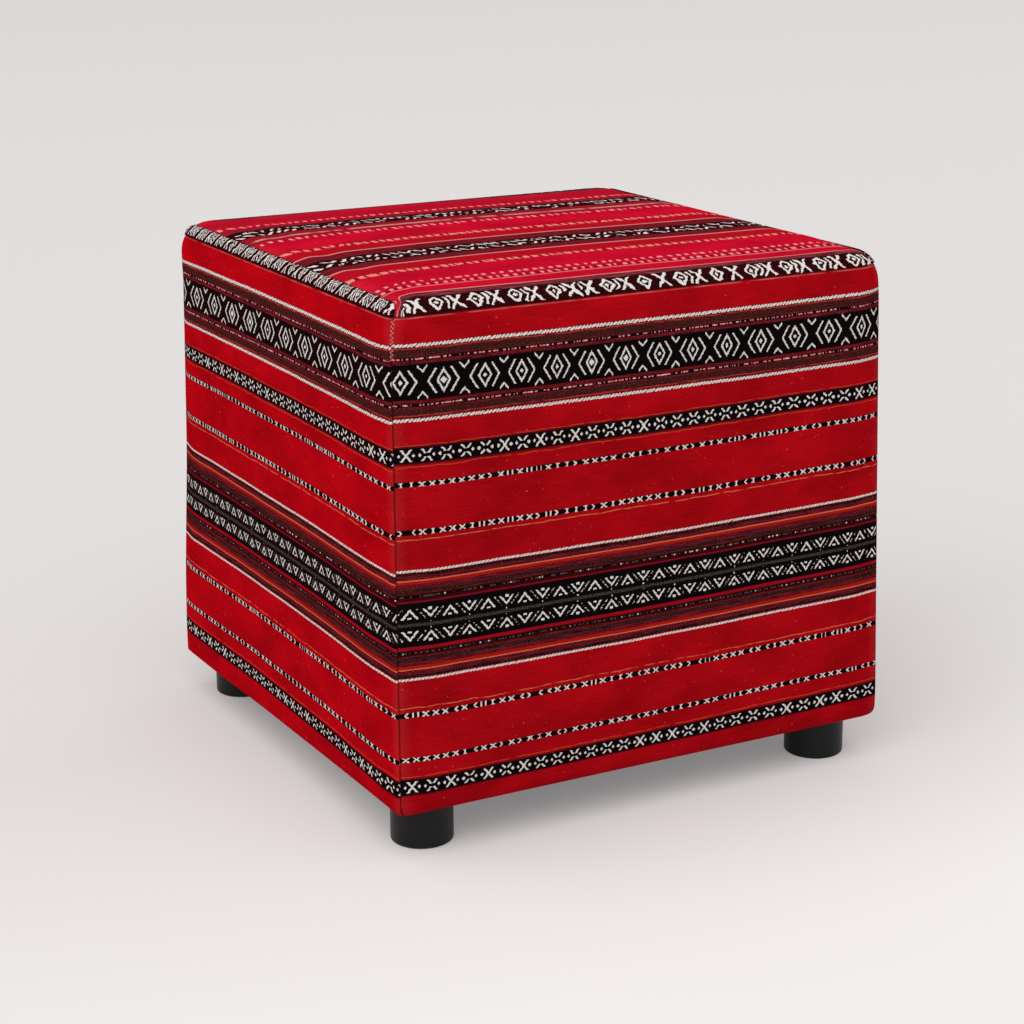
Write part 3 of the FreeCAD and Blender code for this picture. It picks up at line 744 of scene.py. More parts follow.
    def border(self, spot: Spot) -> Signal:
        """Crosses and dotted diamonds by turns, with a bracket after most diamonds."""
        side, height, end = spot.mirrored()
        wide = spot.pitch / self.BORDER_PITCH
        thick = wide ** 1.4
        level = height * (self.BORDER_REACH / self.cloth.glyph_reach)
        inside = level.under(self.BORDER_REACH)
        outline = slant(side, level, 0.74 * wide, foot=5.6 * wide, half=1.3 * thick) * inside
        dot = (side * (1.0 / wide) + level).under(2.1)
        arms = slant(end, level, -0.62 * wide, foot=0.0, half=1.4 * thick) * inside
        bracket = slant(spot.place, level, 0.45 * wide, foot=10.2 * wide, half=1.1 * thick) * level.under(6.8)
        return outline + dot + arms + bracket * self.finish.chance(spot.cell).over(0.12)

    def sew_edges(self) -> None:
        """Paints shade into the seams, with a painted highlight along the folded edge and stitches along
        those of the sides.
        """
        # Painted highlight: a pale broken line along the folded top edge of the sides.
        broken = self.noise(Layer.FOLD_HIGHLIGHT, 2.0).faded(3.0, -1.0)
        self.paint(self.below.near(1.5, 0.5) * broken * self.cloth.fold_highlight, Dye.FOLD_HIGHLIGHT)
        # Painted shade: a dark line along the seams, where the grooves between panels fall into shade.
        shade = self.beside.under(self.SEAM_SHADE).either(self.below.under(self.SEAM_SHADE))
        self.paint(shade * 0.6, Dye.SEAM)
        if self.cloth.fold_highlight:
            stitch = self.beside.under(1.3) * abs(self.across.repeated(self.STITCH_PITCH)).under(0.9)
            self.paint(stitch * self.below.near(17.0, 15.0) * 0.6, Dye.STITCH)

    def finish_surface(self) -> None:
        """Adds twill relief and the small light and dark of single threads."""
        rib = self.along.scaled(self.RIB_SLOPE, self.across).sine(self.RIB_PITCH)
        thread = self.noise(Layer.FIBRE)
        light = rib.scaled(0.08, 0.92) + thread.swung(0.34)
        grey = self.finish.node("ShaderNodeCombineColor", Red=light, Green=light, Blue=light)
        self.finish.set(Base_Color=self.finish.mixed(1.0, self.colour, grey.outputs[0], "MULTIPLY"))
        self.finish.relief(rib.scaled(0.5, thread), self.RIB_DEPTH, strength=0.5)


@dataclass(frozen=True)
class GrainedFinish:
    """A hard or fibrous finish with a grain of its own, in two close colours.

    The grain and the clouds over it are in waves per millimetre, the depth of its relief in metres.
    """

    name: str
    light: str
    dark: str
    roughness: float
    grain: tuple[float, float, float]
    depth: float
    specular: float = 0.4
    metal: float = 0.0
    sheen: float = 0.0
    contrast: float = 3.0
    clouds: float = 0.02
    cloud_share: float = 0.3
    uneven: float = 0.18

    def dress(self) -> bpy.types.Material:
        """Builds the material."""
        finish = Finish(self.name, self.roughness)
        axes = finish.place()
        grain = finish.noise(*(axis * waves for axis, waves in zip(axes, self.grain)), detail=4.0)
        cloud = finish.noise(*(axis * self.clouds for axis in axes), detail=2.0)
        sharp = grain.scaled(self.contrast, 0.5 - self.contrast / 2.0)
        share = sharp.faded(1.0 - self.cloud_share, cloud * self.cloud_share)
        finish.set(Specular_IOR_Level=self.specular, Metallic=self.metal, Sheen_Weight=self.sheen,
                   Base_Color=finish.mixed(share, linear(self.dark), linear(self.light)),
                   Roughness=grain.scaled(self.uneven, self.roughness - self.uneven / 2.0))
        finish.relief(grain, self.depth)
        return finish.material


PLYWOOD = GrainedFinish("birch plywood", "#c9a673", "#a37c4a", 0.62, (0.02, 0.35, 1.3), 0.00015)
PINE = GrainedFinish("planed pine", "#d5b07a", "#b98a50", 0.6, (0.5, 0.5, 0.02), 0.0002)
FOAM = GrainedFinish("cut foam", "#e3cf9c", "#c9b078", 0.95, (0.9, 0.9, 0.9), 0.0006, 0.15)
WADDING = GrainedFinish("white wadding", "#eceae4", "#cfccc4", 0.97, (0.25, 0.25, 0.6), 0.0008, 0.1, 0.0, 0.3)
FELT = GrainedFinish("black felt", "#26252a", "#151417", 0.95, (0.7, 0.7, 0.7), 0.0003, 0.1, 0.0, 0.25)
PLASTIC = GrainedFinish("satin black plastic", "#151515", "#0d0d0d", 0.42, (1.6, 1.6, 1.6), 0.00003, 0.2)
STEEL = GrainedFinish("zinc plated steel", "#c4c6ca", "#8f9298", 0.36, (0.3, 0.3, 2.0), 0.00003, 0.5, 1.0)


class Side(Enum):
    """Upright sides, with their turn about the upright axis in quarter turns from the front."""

    FRONT = 0
    RIGHT = 1
    BACK = 2
    LEFT = 3

    @property
    def word(self) -> str:
        """The side's name in node names."""
        return self.name.lower()


def even_ends(count: int, ease: float) -> Grid:
    """Shares from -1 to 1, closer together towards the ends."""
    even = np.linspace(-1.0, 1.0, count + 1)
    return even * (1.0 + ease * (1.0 - even * even))


SHARES = even_ends(count=72, ease=0.25)


def run_down(points: Grid) -> Grid:
    """Distance down each column of a grid of points, from its first row."""
    steps = np.linalg.norm(np.diff(points, axis=0), axis=-1)
    return np.concatenate([np.zeros((1, points.shape[1])), np.cumsum(steps, axis=0)])


@dataclass(frozen=True)
class Pull:
    """A shift of the cloth, in metres, where each named coordinate is past its ramp.

    A ramp runs smoothly from 0 at its first place to 1 at its second, which may be the lower one.
    """

    size: float
    ramps: tuple[tuple[str, float, float], ...]

    def at(self, **places: Grid) -> Grid:
        """The shift at each point, from its coordinates by name."""
        return self.size * math.prod(smooth(places[axis], start, end) for axis, start, end in self.ramps)


@dataclass(frozen=True)
class StripeLay:
    """How the stripes of a panel stray from even rows through sewing, in metres."""

    pulls: tuple[Pull, ...]
    bow: float = 0.0
    shift: float = 0.0
    lean: float = 0.0
    level: float = 0.150

    def stray(self, even: Grid, bow: Grid, **places: Grid) -> Grid:
        """Moves even rows.

        Args:
            even: places across the stripes.
            bow: 1 in the middle of the panel, 0 at its ends.
            places: coordinates by the names that the pulls use.

        Returns:
            Places across the stripes as they lie.
        """
        pulled = sum(pull.at(**places) for pull in self.pulls)
        return even + pulled + self.bow * bow + self.shift + self.lean * (even - self.level)


FRONT_LAY = StripeLay((
    Pull(-0.0009, (("along", 0.04, 0.12), ("up", 0.36, 0.31))),
), bow=0.0010, shift=-0.0006)
FLANK_LAY = StripeLay((
    Pull(0.0013, (("along", 0.09, 0.19), ("up", 0.40, 0.30))),
    Pull(0.0016, (("along", 0.195, 0.222), ("up", 0.40, 0.30))),
    Pull(-0.0010, (("up", 0.272, 0.295), ("up", 0.40, 0.35))),
    Pull(0.0019, (("up", 0.115, 0.07),)),
), bow=-0.0012, shift=-0.0023, lean=0.013)
SEAT_LAY = StripeLay((
    Pull(0.006, (("left", 0.08, 0.18), ("run", -0.19, -0.14))),
    Pull(0.0045, (("right", -0.02, 0.16), ("run", -0.208, -0.196))),
    Pull(0.0035, (("right", -0.02, 0.16), ("run", -0.16, -0.12))),
    Pull(-0.018, (("left", 0.184, 0.213), ("run", -0.200, -0.090))),
    Pull(0.026, (("border", 0.008, 0.001), ("left", 0.195, 0.207), ("front", 0.190, 0.208))),
    Pull(-0.026, (("border", 0.008, 0.001), ("left", 0.195, 0.207), ("back", 0.190, 0.208))),
))


@dataclass(frozen=True)
class Corner:
    """Radii of one upright corner of the cover, in metres."""

    foot: float
    wall: float
    top: float


@dataclass
class CoverForm:
    """Outline of the covered body, in metres."""

    half: float = 0.225
    bottom: float = 0.0336
    crisp_bottom: float = 0.0025
    round_bottom: float = 0.013
    hem: float = 0.040
    foot_height: float = 0.060
    wall_height: float = 0.390
    roll_start: float = 0.410
    roll_radius: float = 0.024
    seam_inset: float = 0.0045
    tight: Corner = Corner(foot=0.012, wall=0.012, top=0.016)
    full: Corner = Corner(foot=0.004, wall=0.029, top=0.033)
    left_border: float = 0.0135
    right_border: float = 0.015
    border_taper: float = 0.014
    border_curve: float = 2.4
    slack: Pull = Pull(0.0034, (("left", 0.10, 0.225), ("back", 0.03, 0.225), ("up", 0.24, 0.09)))

    # How round the bottom edge is at the two ends of each side, and where it changes over.
    BOTTOM_ENDS = {Side.FRONT: (1.0, 0.85), Side.RIGHT: (0.85, 0.85), Side.BACK: (0.85, 0.0),
                   Side.LEFT: (0.0, 0.75)}
    BOTTOM_CHANGE = (-0.75, 0.95)

    def seam_corner(self, corner: Corner) -> float:
        """How far a corner of the seat seam lies from the middle, along each side."""
        return self.half - corner.top + (corner.top - self.seam_inset) / math.sqrt(2.0)

    def radius(self, corner: Corner, height: Grid) -> Grid:
        """Radius of an upright corner at a height, that of its foot below and fuller above."""
        share = np.clip((height - self.foot_height) / (self.wall_height - self.foot_height), 0.0, 1.0)
        wall = corner.foot + (corner.wall - corner.foot) * share
        seam = float(self.rise(self.seam_inset))
        return wall + (corner.top - corner.wall) * smooth(height, self.wall_height, seam)

    def by_corner(self, x: Grid, y: Grid, tight: Grid, full: Grid) -> Grid:
        """Picks the tight value around the near left corner, and the full one elsewhere."""
        return np.where((x < 0.0) & (y < 0.0), tight, full)

    def past_centres(self, x: Grid, y: Grid, radius: Grid) -> tuple[Grid, ...]:
        """How far points lie past the centres of the corners: sideways, forward and outright."""
        across, along = np.abs(x) - self.half + radius, np.abs(y) - self.half + radius
        return across, along, np.hypot(np.maximum(across, 0.0), np.maximum(along, 0.0))

    def outline(self, share: Grid, inset: float, first: float, second: float) -> tuple[Grid, Grid]:
        """Follows the front of a rounded square, from one corner's middle to the next.

        Args:
            share: places from -1 to 1.
            inset: distance in from the outside.
            first: corner radius where the share is negative.
            second: corner radius where it is positive.

        Returns:
            Sideways and forward places.
        """
        radius = np.where(share < 0.0, first, second)
        straight = self.half - inset - radius
        run = np.abs(share) * (straight + radius * math.pi / 4.0)
        turn = np.maximum(run - straight, 0.0) / radius
        sideways = np.where(run <= straight, run, straight + radius * np.sin(turn))
        return np.sign(share) * sideways, straight + radius * np.cos(turn)

    def bottom_share(self, side: Side) -> Grid:
        """How round the bottom edge of a side is at each place, from crisp 0 to round 1."""
        first, second = self.BOTTOM_ENDS[side]
        return first + (second - first) * smooth(SHARES, *self.BOTTOM_CHANGE)

    def slacken(self, points: Grid) -> Grid:
        """Lets the foot of the back left corner stand out a little, as loose cloth does."""
        x, y, z = points[..., 0], points[..., 1], points[..., 2]
        return np.stack([x - self.slack.at(left=-x, back=y, up=z), y, z], -1)

    def inset_of(self, x: Grid, y: Grid) -> Grid:
        """Distance in from the outside of the rolled edge, seen from above."""
        radius = self.by_corner(x, y, self.tight.top, self.full.top)
        across, along, outside = self.past_centres(x, y, radius)
        return radius - outside - np.minimum(np.maximum(across, along), 0.0)

    def rise(self, inset: Grid) -> Grid:
        """Height of the cloth over the rolled edge."""
        short = np.clip(self.roll_radius - inset, 0.0, self.roll_radius)
        return self.roll_start + np.sqrt(self.roll_radius ** 2 - short ** 2)

    def border_seam(self, side: Side, along: Grid) -> Grid:
        """Distance of the left or right border's upper seam from the middle, from front to back."""
        left = side is Side.LEFT
        corner, inset = (self.tight, self.left_border) if left else (self.full, self.right_border)
        reach = np.where(along < 0.0, self.seam_corner(corner), self.seam_corner(self.full))
        ease = np.clip((np.abs(along) - reach + self.border_taper) / self.border_taper, 0.0, 1.0)
        straight = self.half - inset
        return straight + (reach - straight) * ease ** self.border_curve


class Simulation:
    """The cloth simulation that pads a panel from inside."""

    STEPS = 20
    SETTINGS = {"quality": 6, "mass": 0.3, "tension_stiffness": 12.0, "compression_stiffness": 12.0,
                "shear_stiffness": 6.0, "bending_stiffness": 1.5, "use_pressure": True,
                "uniform_pressure_force": 4.0}

    def run(self, obj: bpy.types.Object, pinned: str) -> Grid:
        """Swells a panel out while a vertex group of it is held.

        Args:
            obj: the panel.
            pinned: name of the group.

        Returns:
            Where its points come to rest.
        """
        cloth = obj.modifiers.new("padding", "CLOTH")
        for name, value in self.SETTINGS.items():
            setattr(cloth.settings, name, value)
        cloth.settings.vertex_group_mass = pinned
        cloth.settings.effector_weights.gravity = 0.0
        cloth.point_cache.frame_start = 1
        cloth.point_cache.frame_end = self.STEPS
        for step in range(1, self.STEPS + 1):
            bpy.context.scene.frame_set(step)
        settled = obj.evaluated_get(bpy.context.evaluated_depsgraph_get()).to_mesh()
        moved = np.zeros(len(settled.vertices) * 3)
        settled.vertices.foreach_get("co", moved)
        obj.modifiers.remove(cloth)
        bpy.context.scene.frame_set(1)
        return moved.reshape(-1, 3)


@dataclass
class Panel:
    """A sewn panel as a grid of points, with its cloth and seam coordinates and its largest swell."""

    name: str
    points: Grid
    cloth: Grid
    seam: Grid
    swell: Grid
    obj: bpy.types.Object | None = None

    LEAST_SWELL = 1e-6

    def build(self) -> None:
        """Makes the mesh with its two UV maps, and links it to the scene."""
        rows, columns = self.points.shape[:2]
        index = np.arange(rows * columns).reshape(rows, columns)
        faces = np.stack([index[:-1, :-1], index[:-1, 1:], index[1:, 1:], index[1:, :-1]], -1).reshape(-1, 4)
        mesh = bpy.data.meshes.new(self.name)
        mesh.from_pydata(self.points.reshape(-1, 3).tolist(), [], faces.tolist())
        for map_name, values in ((CLOTH_MAP, self.cloth), (SEAM_MAP, self.seam)):
            layer = mesh.uv_layers.new(name=map_name)
            layer.data.foreach_set("uv", values.reshape(-1, 2)[faces.reshape(-1)].astype(np.float32).ravel())
        self.obj = bpy.data.objects.new(self.name, mesh)
        bpy.context.scene.collection.objects.link(self.obj)

    def pin_edges(self) -> str:
        """Holds the sewn edges and the hem for the simulation, and names the group that does."""
        held = self.swell <= 0.0
        held[[0, -1], :] = True
        held[:, [0, -1]] = True
        group = self.obj.vertex_groups.new(name="sewn")
        group.add(np.flatnonzero(held).tolist(), 1.0, "REPLACE")
        return group.name

    def swell_out(self, simulation: Simulation) -> None:
        """Pads the panel by cloth simulation, with its swell capped point by point."""
        start = self.points.reshape(-1, 3)
        travel = simulation.run(self.obj, self.pin_edges()) - start
        size = np.linalg.norm(travel, axis=1)
        cap = np.maximum(self.swell.reshape(-1), self.LEAST_SWELL)
        kept = cap * np.tanh(size / cap)
        ends = start + travel * (kept / np.maximum(size, TINY))[:, None]
        LOG.info("%s swells %.1f mm, kept to %.1f mm", self.name, size.max() * MILLIMETRES,
                 kept.max() * MILLIMETRES)
        self.obj.data.vertices.foreach_set("co", ends.astype(np.float32).ravel())
        self.obj.data.update()

    def sew(self, thickness: float) -> None:
        """Smooths the panel, gives the cloth its thickness and applies both."""
        select_only(self.obj)
        fine = self.obj.modifiers.new("finer", "SUBSURF")
        fine.levels = fine.render_levels = 1
        fine.uv_smooth = "NONE"
        bpy.ops.object.modifier_apply(modifier=fine.name)
        thicken(self.obj, thickness)
        bpy.ops.object.shade_smooth_by_angle(angle=SMOOTH_ANGLE)


@dataclass
class Cover:
    """The sewn cover: four sides, a seat panel and a border strip at its left and right."""

    form: CoverForm = field(default_factory=CoverForm)
    simulation: Simulation = field(default_factory=Simulation)
    thickness: float = 0.0012
    sharpest: float = 0.002
    side_swell: float = 0.0024
    seat_crown: float = 0.0046
    seat_swell: float = 0.0016
    strip_swell: float = 0.0014
    panels: list[Panel] = field(default_factory=list)

    # Rows of points over the hem, the bottom edge, the wall and the roll, and over a strip.
    HEM_ROWS, BOTTOM_ROWS, WALL_ROWS, ROLL_ROWS, STRIP_ROWS = 5, 8, 54, 5, 9
    # Places, in from an edge, between which the swell and the crown set in.
    SIDE_END, SIDE_TOP, SIDE_FOOT = (0.0, 0.012), (-0.004, 0.02), (-0.004, 0.03)
    SEAT_FRONT, SEAT_BACK, SEAT_EDGE = (0.0, 0.085), (0.0, 0.165), (-0.004, 0.012)
    LEFT_SHOULDER, RIGHT_SHOULDER, SEAM_SHOULDER = (0.0, 0.015), (0.0, 0.013), (0.0, 0.008)
    STRIP_END, STRIP_EDGE = (0.0, 0.06), (-0.0005, 0.006)
    # The right seam of the seat is out of sight, so its painted seam shade is moved off the panel.
    RIGHT_SEAM_OFF, ROLL_STRETCH = 0.003, 1.3
    STRIP_OUT, STRIP_UP = 0.6, 0.8
    # Share of the left strip's fullness and swell that the right strip has.
    RIGHT_FULLNESS, RIGHT_SWELL = 0.3, 0.4

    def profile(self, bottom: float) -> Grid:
        """Follows the upright cloth from the hem to the seat seam.

        Args:
            bottom: radius of the bottom edge.

        Returns:
            Rows of inset, height and height along the cloth.
        """
        form = self.form
        rows: list[tuple[float, float, float]] = []
        flat = form.bottom + bottom - bottom * math.pi / 2.0
        for inset in np.linspace(form.hem, bottom, self.HEM_ROWS)[:-1]:
            rows.append((inset, form.bottom, flat - (inset - bottom)))
        for angle in np.linspace(0.0, math.pi / 2.0, self.BOTTOM_ROWS)[:-1]:
            rows.append((bottom * (1.0 - math.sin(angle)), form.bottom + bottom * (1.0 - math.cos(angle)),
                         flat + bottom * angle))
        for height in np.linspace(form.bottom + bottom, form.roll_start, self.WALL_ROWS)[:-1]:
            rows.append((0.0, height, height))
        last = math.acos(1.0 - form.seam_inset / form.roll_radius)
        for angle in np.linspace(0.0, last, self.ROLL_ROWS):
            rows.append((form.roll_radius * (1.0 - math.cos(angle)),
                         form.roll_start + form.roll_radius * math.sin(angle),
                         form.roll_start + form.roll_radius * angle))
        return np.array(rows)

    def side_grid(self, side: Side) -> tuple[Grid, Grid]:
        """Lays out one side as if it were the front.

        Args:
            side: which side.

        Returns:
            Its points, and their heights along the cloth.
        """
        form = self.form
        corners = (form.tight if side is Side.FRONT else form.full,
                   form.tight if side is Side.LEFT else form.full)
        rounded = form.bottom_share(side)
        points, up = np.zeros(3), np.zeros(1)
        for bottom, weight in ((form.crisp_bottom, 1.0 - rounded), (form.round_bottom, rounded)):
            profile = self.profile(bottom)
            layer = np.zeros((len(profile), len(SHARES), 3))
            for row, (inset, height, _) in zip(layer, profile):
                ends = (max(form.radius(corner, height) - inset, self.sharpest) for corner in corners)
                row[:, 0], forward = form.outline(SHARES, inset, *ends)
                row[:, 1], row[:, 2] = -forward, height
            points = points + layer * weight[:, None]
            up = up + profile[:, 2:] * weight
        return points, up

    def side_panel(self, side: Side) -> Panel:
        """Cuts one upright side.

        Args:
            side: which side.

        Returns:
            The panel, with its stripes level and a little drawn at its ends.
        """
        form = self.form
        points, up = self.side_grid(side)
        length = form.half - (1.0 - math.pi / 4.0) * form.full.foot
        along = np.repeat((SHARES * length)[None, :], len(points), 0)
        seam = np.stack([length - np.abs(along), up[-1:] - up], -1)
        lay = FLANK_LAY if side in (Side.LEFT, Side.RIGHT) else FRONT_LAY
        up = lay.stray(up, 1.0 - (along / length) ** 2, along=along, up=up)
        swell = self.side_swell * smooth(seam[..., 0], *self.SIDE_END) * smooth(seam[..., 1], *self.SIDE_TOP)
        swell *= smooth(up - form.bottom, *self.SIDE_FOOT)
        turn = side.value * math.pi / 2.0
        spin = np.array([[math.cos(turn), math.sin(turn), 0.0], [-math.sin(turn), math.cos(turn), 0.0],
                         [0.0, 0.0, 1.0]])
        return Panel(f"cover_side_{side.word}", form.slacken(points @ spin), np.stack([along, up], -1),
                     seam, swell)

    def seat_plan(self) -> tuple[Grid, Grid]:
        """Lays out the seat between its four seams, seen from above.

        Returns:
            Places from left to right and from front to back.
        """
        form = self.form
        tight, full = form.seam_corner(form.tight), form.seam_corner(form.full)
        tight_seam, full_seam = form.tight.top - form.seam_inset, form.full.top - form.seam_inset
        front_x, front_y = form.outline(SHARES, form.seam_inset, tight_seam, full_seam)
        back_x, back_y = form.outline(SHARES, form.seam_inset, full_seam, full_seam)
        u, v = ((SHARES + 1.0) / 2.0)[None, :], ((SHARES + 1.0) / 2.0)[:, None]
        left_y = np.where(SHARES < 0.0, SHARES * tight, SHARES * full)[:, None]
        right_y = (SHARES * full)[:, None]
        left_x, right_x = -form.border_seam(Side.LEFT, left_y), form.border_seam(Side.RIGHT, right_y)
        corners = np.array([[-tight, -tight], [full, -full], [-full, full], [full, full]])
        weights = np.stack([(1.0 - u) * (1.0 - v), u * (1.0 - v), (1.0 - u) * v, u * v], -1)
        doubled = weights @ corners
        x = (1.0 - v) * front_x + v * back_x + (1.0 - u) * left_x + u * right_x
        y = v * back_y - (1.0 - v) * front_y + (1.0 - u) * left_y + u * right_y
        return x - doubled[..., 0], y - doubled[..., 1]

    def seat_panel(self) -> Panel:
        """Cuts the seat panel between the front and back seams and the two borders.

        Returns:
            The panel, with stripes from left to right.
        """
        form = self.form
        x, y = self.seat_plan()
        inset = form.inset_of(x, y)
        border = np.minimum(x + form.border_seam(Side.LEFT, y), form.border_seam(Side.RIGHT, y) - x)
        ramp = smooth(form.half + y, *self.SEAT_FRONT) * smooth(form.half - y, *self.SEAT_BACK)
        left, right = smooth(border, *self.LEFT_SHOULDER), smooth(border, *self.RIGHT_SHOULDER)
        shoulder = np.where(x < 0.0, left, right) * smooth(inset - form.seam_inset, *self.SEAM_SHOULDER)
        crown = self.seat_crown * ramp * shoulder
        points = np.stack([x, y, form.rise(inset) + crown], -1)
        run = run_down(points[:, :, 1:])
        run = run - run[len(SHARES) // 2]
        run = SEAT_LAY.stray(run, 0.0, left=-x, right=x, front=-y, back=y, run=run, border=border)
        beside = np.maximum(border, 0.0) + np.where(x > 0.0, self.RIGHT_SEAM_OFF, 0.0)
        below = np.maximum(inset - form.seam_inset, 0.0) * self.ROLL_STRETCH
        return Panel("cover_seat", points, np.stack([x, run], -1), np.stack([beside, below], -1),
                     self.seat_swell * ramp * smooth(border, *self.SEAT_EDGE))

    def strip_panel(self, side: Side) -> Panel:
        """Cuts one border strip between a side seam and the seat.

        Args:
            side: left or right.

        Returns:
            The strip, with its motifs along its length.
        """
        form = self.form
        left = side is Side.LEFT
        sign = -1.0 if left else 1.0
        front = form.tight if left else form.full
        outer_y, outer_x = form.outline(SHARES, form.seam_inset, front.top - form.seam_inset,
                                        form.full.top - form.seam_inset)
        inner_y = SHARES * np.where(SHARES < 0.0, form.seam_corner(front), form.seam_corner(form.full))
        inner_x = form.border_seam(side, inner_y)
        lane = np.linspace(0.0, 1.0, self.STRIP_ROWS)[:, None]
        x = sign * (outer_x * (1.0 - lane) + inner_x * lane)
        y = outer_y * (1.0 - lane) + inner_y * lane
        fullness = self.strip_swell * 4.0 * lane * (1.0 - lane) * (1.0 if left else self.RIGHT_FULLNESS)
        fullness = fullness * smooth(1.0 - np.abs(SHARES), *self.STRIP_END)
        up = form.rise(form.inset_of(x, y * -sign)) + fullness * self.STRIP_UP
        points = np.stack([x + sign * fullness * self.STRIP_OUT, y * -sign, up], -1)
        run = run_down(points)
        rest = run[-1:] - run
        swell = self.strip_swell * smooth(np.minimum(run, rest), *self.STRIP_EDGE)
        swell *= 1.0 if left else self.RIGHT_SWELL
        seam = np.stack([np.maximum(rest, 0.0), run], -1)
        return Panel(f"cover_strip_{side.word}", points, np.stack([y, run], -1), seam, swell)

    def build(self) -> None:
        """Cuts, pads and sews every panel."""
        self.panels = [self.side_panel(side) for side in Side]
        self.panels.append(self.seat_panel())
        self.panels += [self.strip_panel(side) for side in (Side.LEFT, Side.RIGHT)]
        for panel in self.panels:
            panel.build()
            panel.swell_out(self.simulation)
            panel.sew(self.thickness)

    def dress(self) -> None:
        """Gives each panel its cloth and ties it to the CAD piece that it stands for."""
        # The ground red differs by panel, brighter on the seat and on the left and right than on the front
        # and back: partly the cloth's own red and partly painted light for how the light falls on each face.
        wide = StripedCloth("striped cloth, front and back", side_bands(), "#a80a14", {
            Weave.DIAMOND: Repeat(30.2, 1.8, Drift(-145.0, 0.118, 0.0, 20.0, 0.045, 0.00022)),
            Weave.CHEVRON: Repeat(29.1, 4.0, Drift(-40.0, 0.045, 0.00022, 40.0, -0.03)),
            Weave.CROSS: Repeat(15.25, 3.5, Drift(-135.0, 0.06, 0.0, 75.0, 0.09)),
            Weave.SMALL_CROSS: Repeat(8.2, 2.0)}, fold_highlight=0.4).dress()
        narrow = StripedCloth("striped cloth, left and right", side_bands(), "#b30613", {
            Weave.DIAMOND: Repeat(38.0, 1.0, Drift(-30.0, 0.046, 0.00025)),
            Weave.CHEVRON: Repeat(26.9, 16.3, Drift(slip_at=118.0, slip=7.0)),
            Weave.CROSS: Repeat(15.4, 11.0, Drift(0.0, 0.094)),
            Weave.SMALL_CROSS: Repeat(8.2, 5.0)}, fold_highlight=0.35, flanks=0.3).dress()
        seat = StripedCloth("striped cloth, seat", seat_bands(), "#c60e2b", {
            Weave.BORDER: Repeat(32.5, -148.5, Drift(slip_at=-61.0, slip=-14.0)),
            Weave.STROKES: Repeat(7.2, 1.0)}).dress()
        edge = StripedCloth("striped cloth, borders", strip_bands(), "#5c0b18",
                            {Weave.BORDER: Repeat(21.0, 9.0)}, glyph_reach=5.6).dress()
        wear = {"cover_seat": ("top_cover", seat)}
        for side in Side:
            flank = side in (Side.LEFT, Side.RIGHT)
            wear[f"cover_side_{side.word}"] = (f"side_cover_{side.word}", narrow if flank else wide)
            wear[f"cover_strip_{side.word}"] = (f"border_strip_{side.word}", edge)
        for panel in self.panels:
            node, cloth = wear[panel.name]
            stand_in(panel.obj, node, "cover_cloth", cloth)


@dataclass
class Padding:
    """Foam and wadding inside the cover, in metres."""

    form: CoverForm = field(default_factory=CoverForm)
    slack: float = 0.0004
    cover_room: float = 0.0020
    merge: float = 0.00002
    pads: dict[str, bpy.types.Object] = field(default_factory=dict)

    def stuff(self, node: str) -> bpy.types.Object:
        """Makes one soft pad that fills the room of its CAD solid, a little slack.

        Args:
            node: CAD node that the pad stands for.

        Returns:
            The finished pad.
        """
        pad = bpy.data.objects.new(f"pad_{node}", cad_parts[node].data.copy())
        bpy.context.scene.collection.objects.link(pad)
        select_only(pad)
        bpy.ops.object.mode_set(mode="EDIT")
        bpy.ops.mesh.select_all(action="SELECT")
        bpy.ops.mesh.remove_doubles(threshold=self.merge)
        bpy.ops.transform.shrink_fatten(value=-self.slack)
        bpy.ops.object.mode_set(mode="OBJECT")
        self.tuck(pad)
        bpy.ops.object.shade_smooth_by_angle(angle=SMOOTH_ANGLE)
        return pad

    def tuck(self, pad: bpy.types.Object) -> None:
        """Tucks the corners of a pad in under the fuller corners of the cover."""
        form = self.form
        flat = np.zeros(len(pad.data.vertices) * 3)
        pad.data.vertices.foreach_get("co", flat)
        x, y, z = flat.reshape(-1, 3).T
        radius = form.by_corner(x, y, form.radius(form.tight, z), form.radius(form.full, z))
        across, along, outside = form.past_centres(x, y, radius)
        room = np.maximum(radius - self.cover_room, 0.0)
        cornered = (across > 0.0) & (along > 0.0) & (outside > room)
        share = room / np.maximum(outside, TINY)
        x = np.sign(x) * np.where(cornered, form.half - radius + across * share, np.abs(x))
        y = np.sign(y) * np.where(cornered, form.half - radius + along * share, np.abs(y))
        inset = form.inset_of(x, y)
        roof = form.rise(np.maximum(inset - self.cover_room, 0.0)) - self.cover_room / 2.0
        z = np.where((z > form.roll_start) & (inset < form.roll_radius), np.minimum(z, roof), z)
        pad.data.vertices.foreach_set("co", np.stack([x, y, z], -1).astype(np.float32).ravel())
        pad.data.update()

    def build(self) -> None:
        """Stuffs the foam, its wadding cap and the wadding of the four sides."""
        for node in ("seat_foam", "seat_wadding", *(f"side_wadding_{side.word}" for side in Side)):
            self.pads[node] = self.stuff(node)

    def dress(self) -> None:
        """Gives each pad its finish and ties it to its CAD piece."""
        foam, wadding = FOAM.dress(), WADDING.dress()
        for node, pad in self.pads.items():
            slot, finish = ("foam", foam) if node == "seat_foam" else ("wadding", wadding)
            stand_in(pad, node, slot, finish)


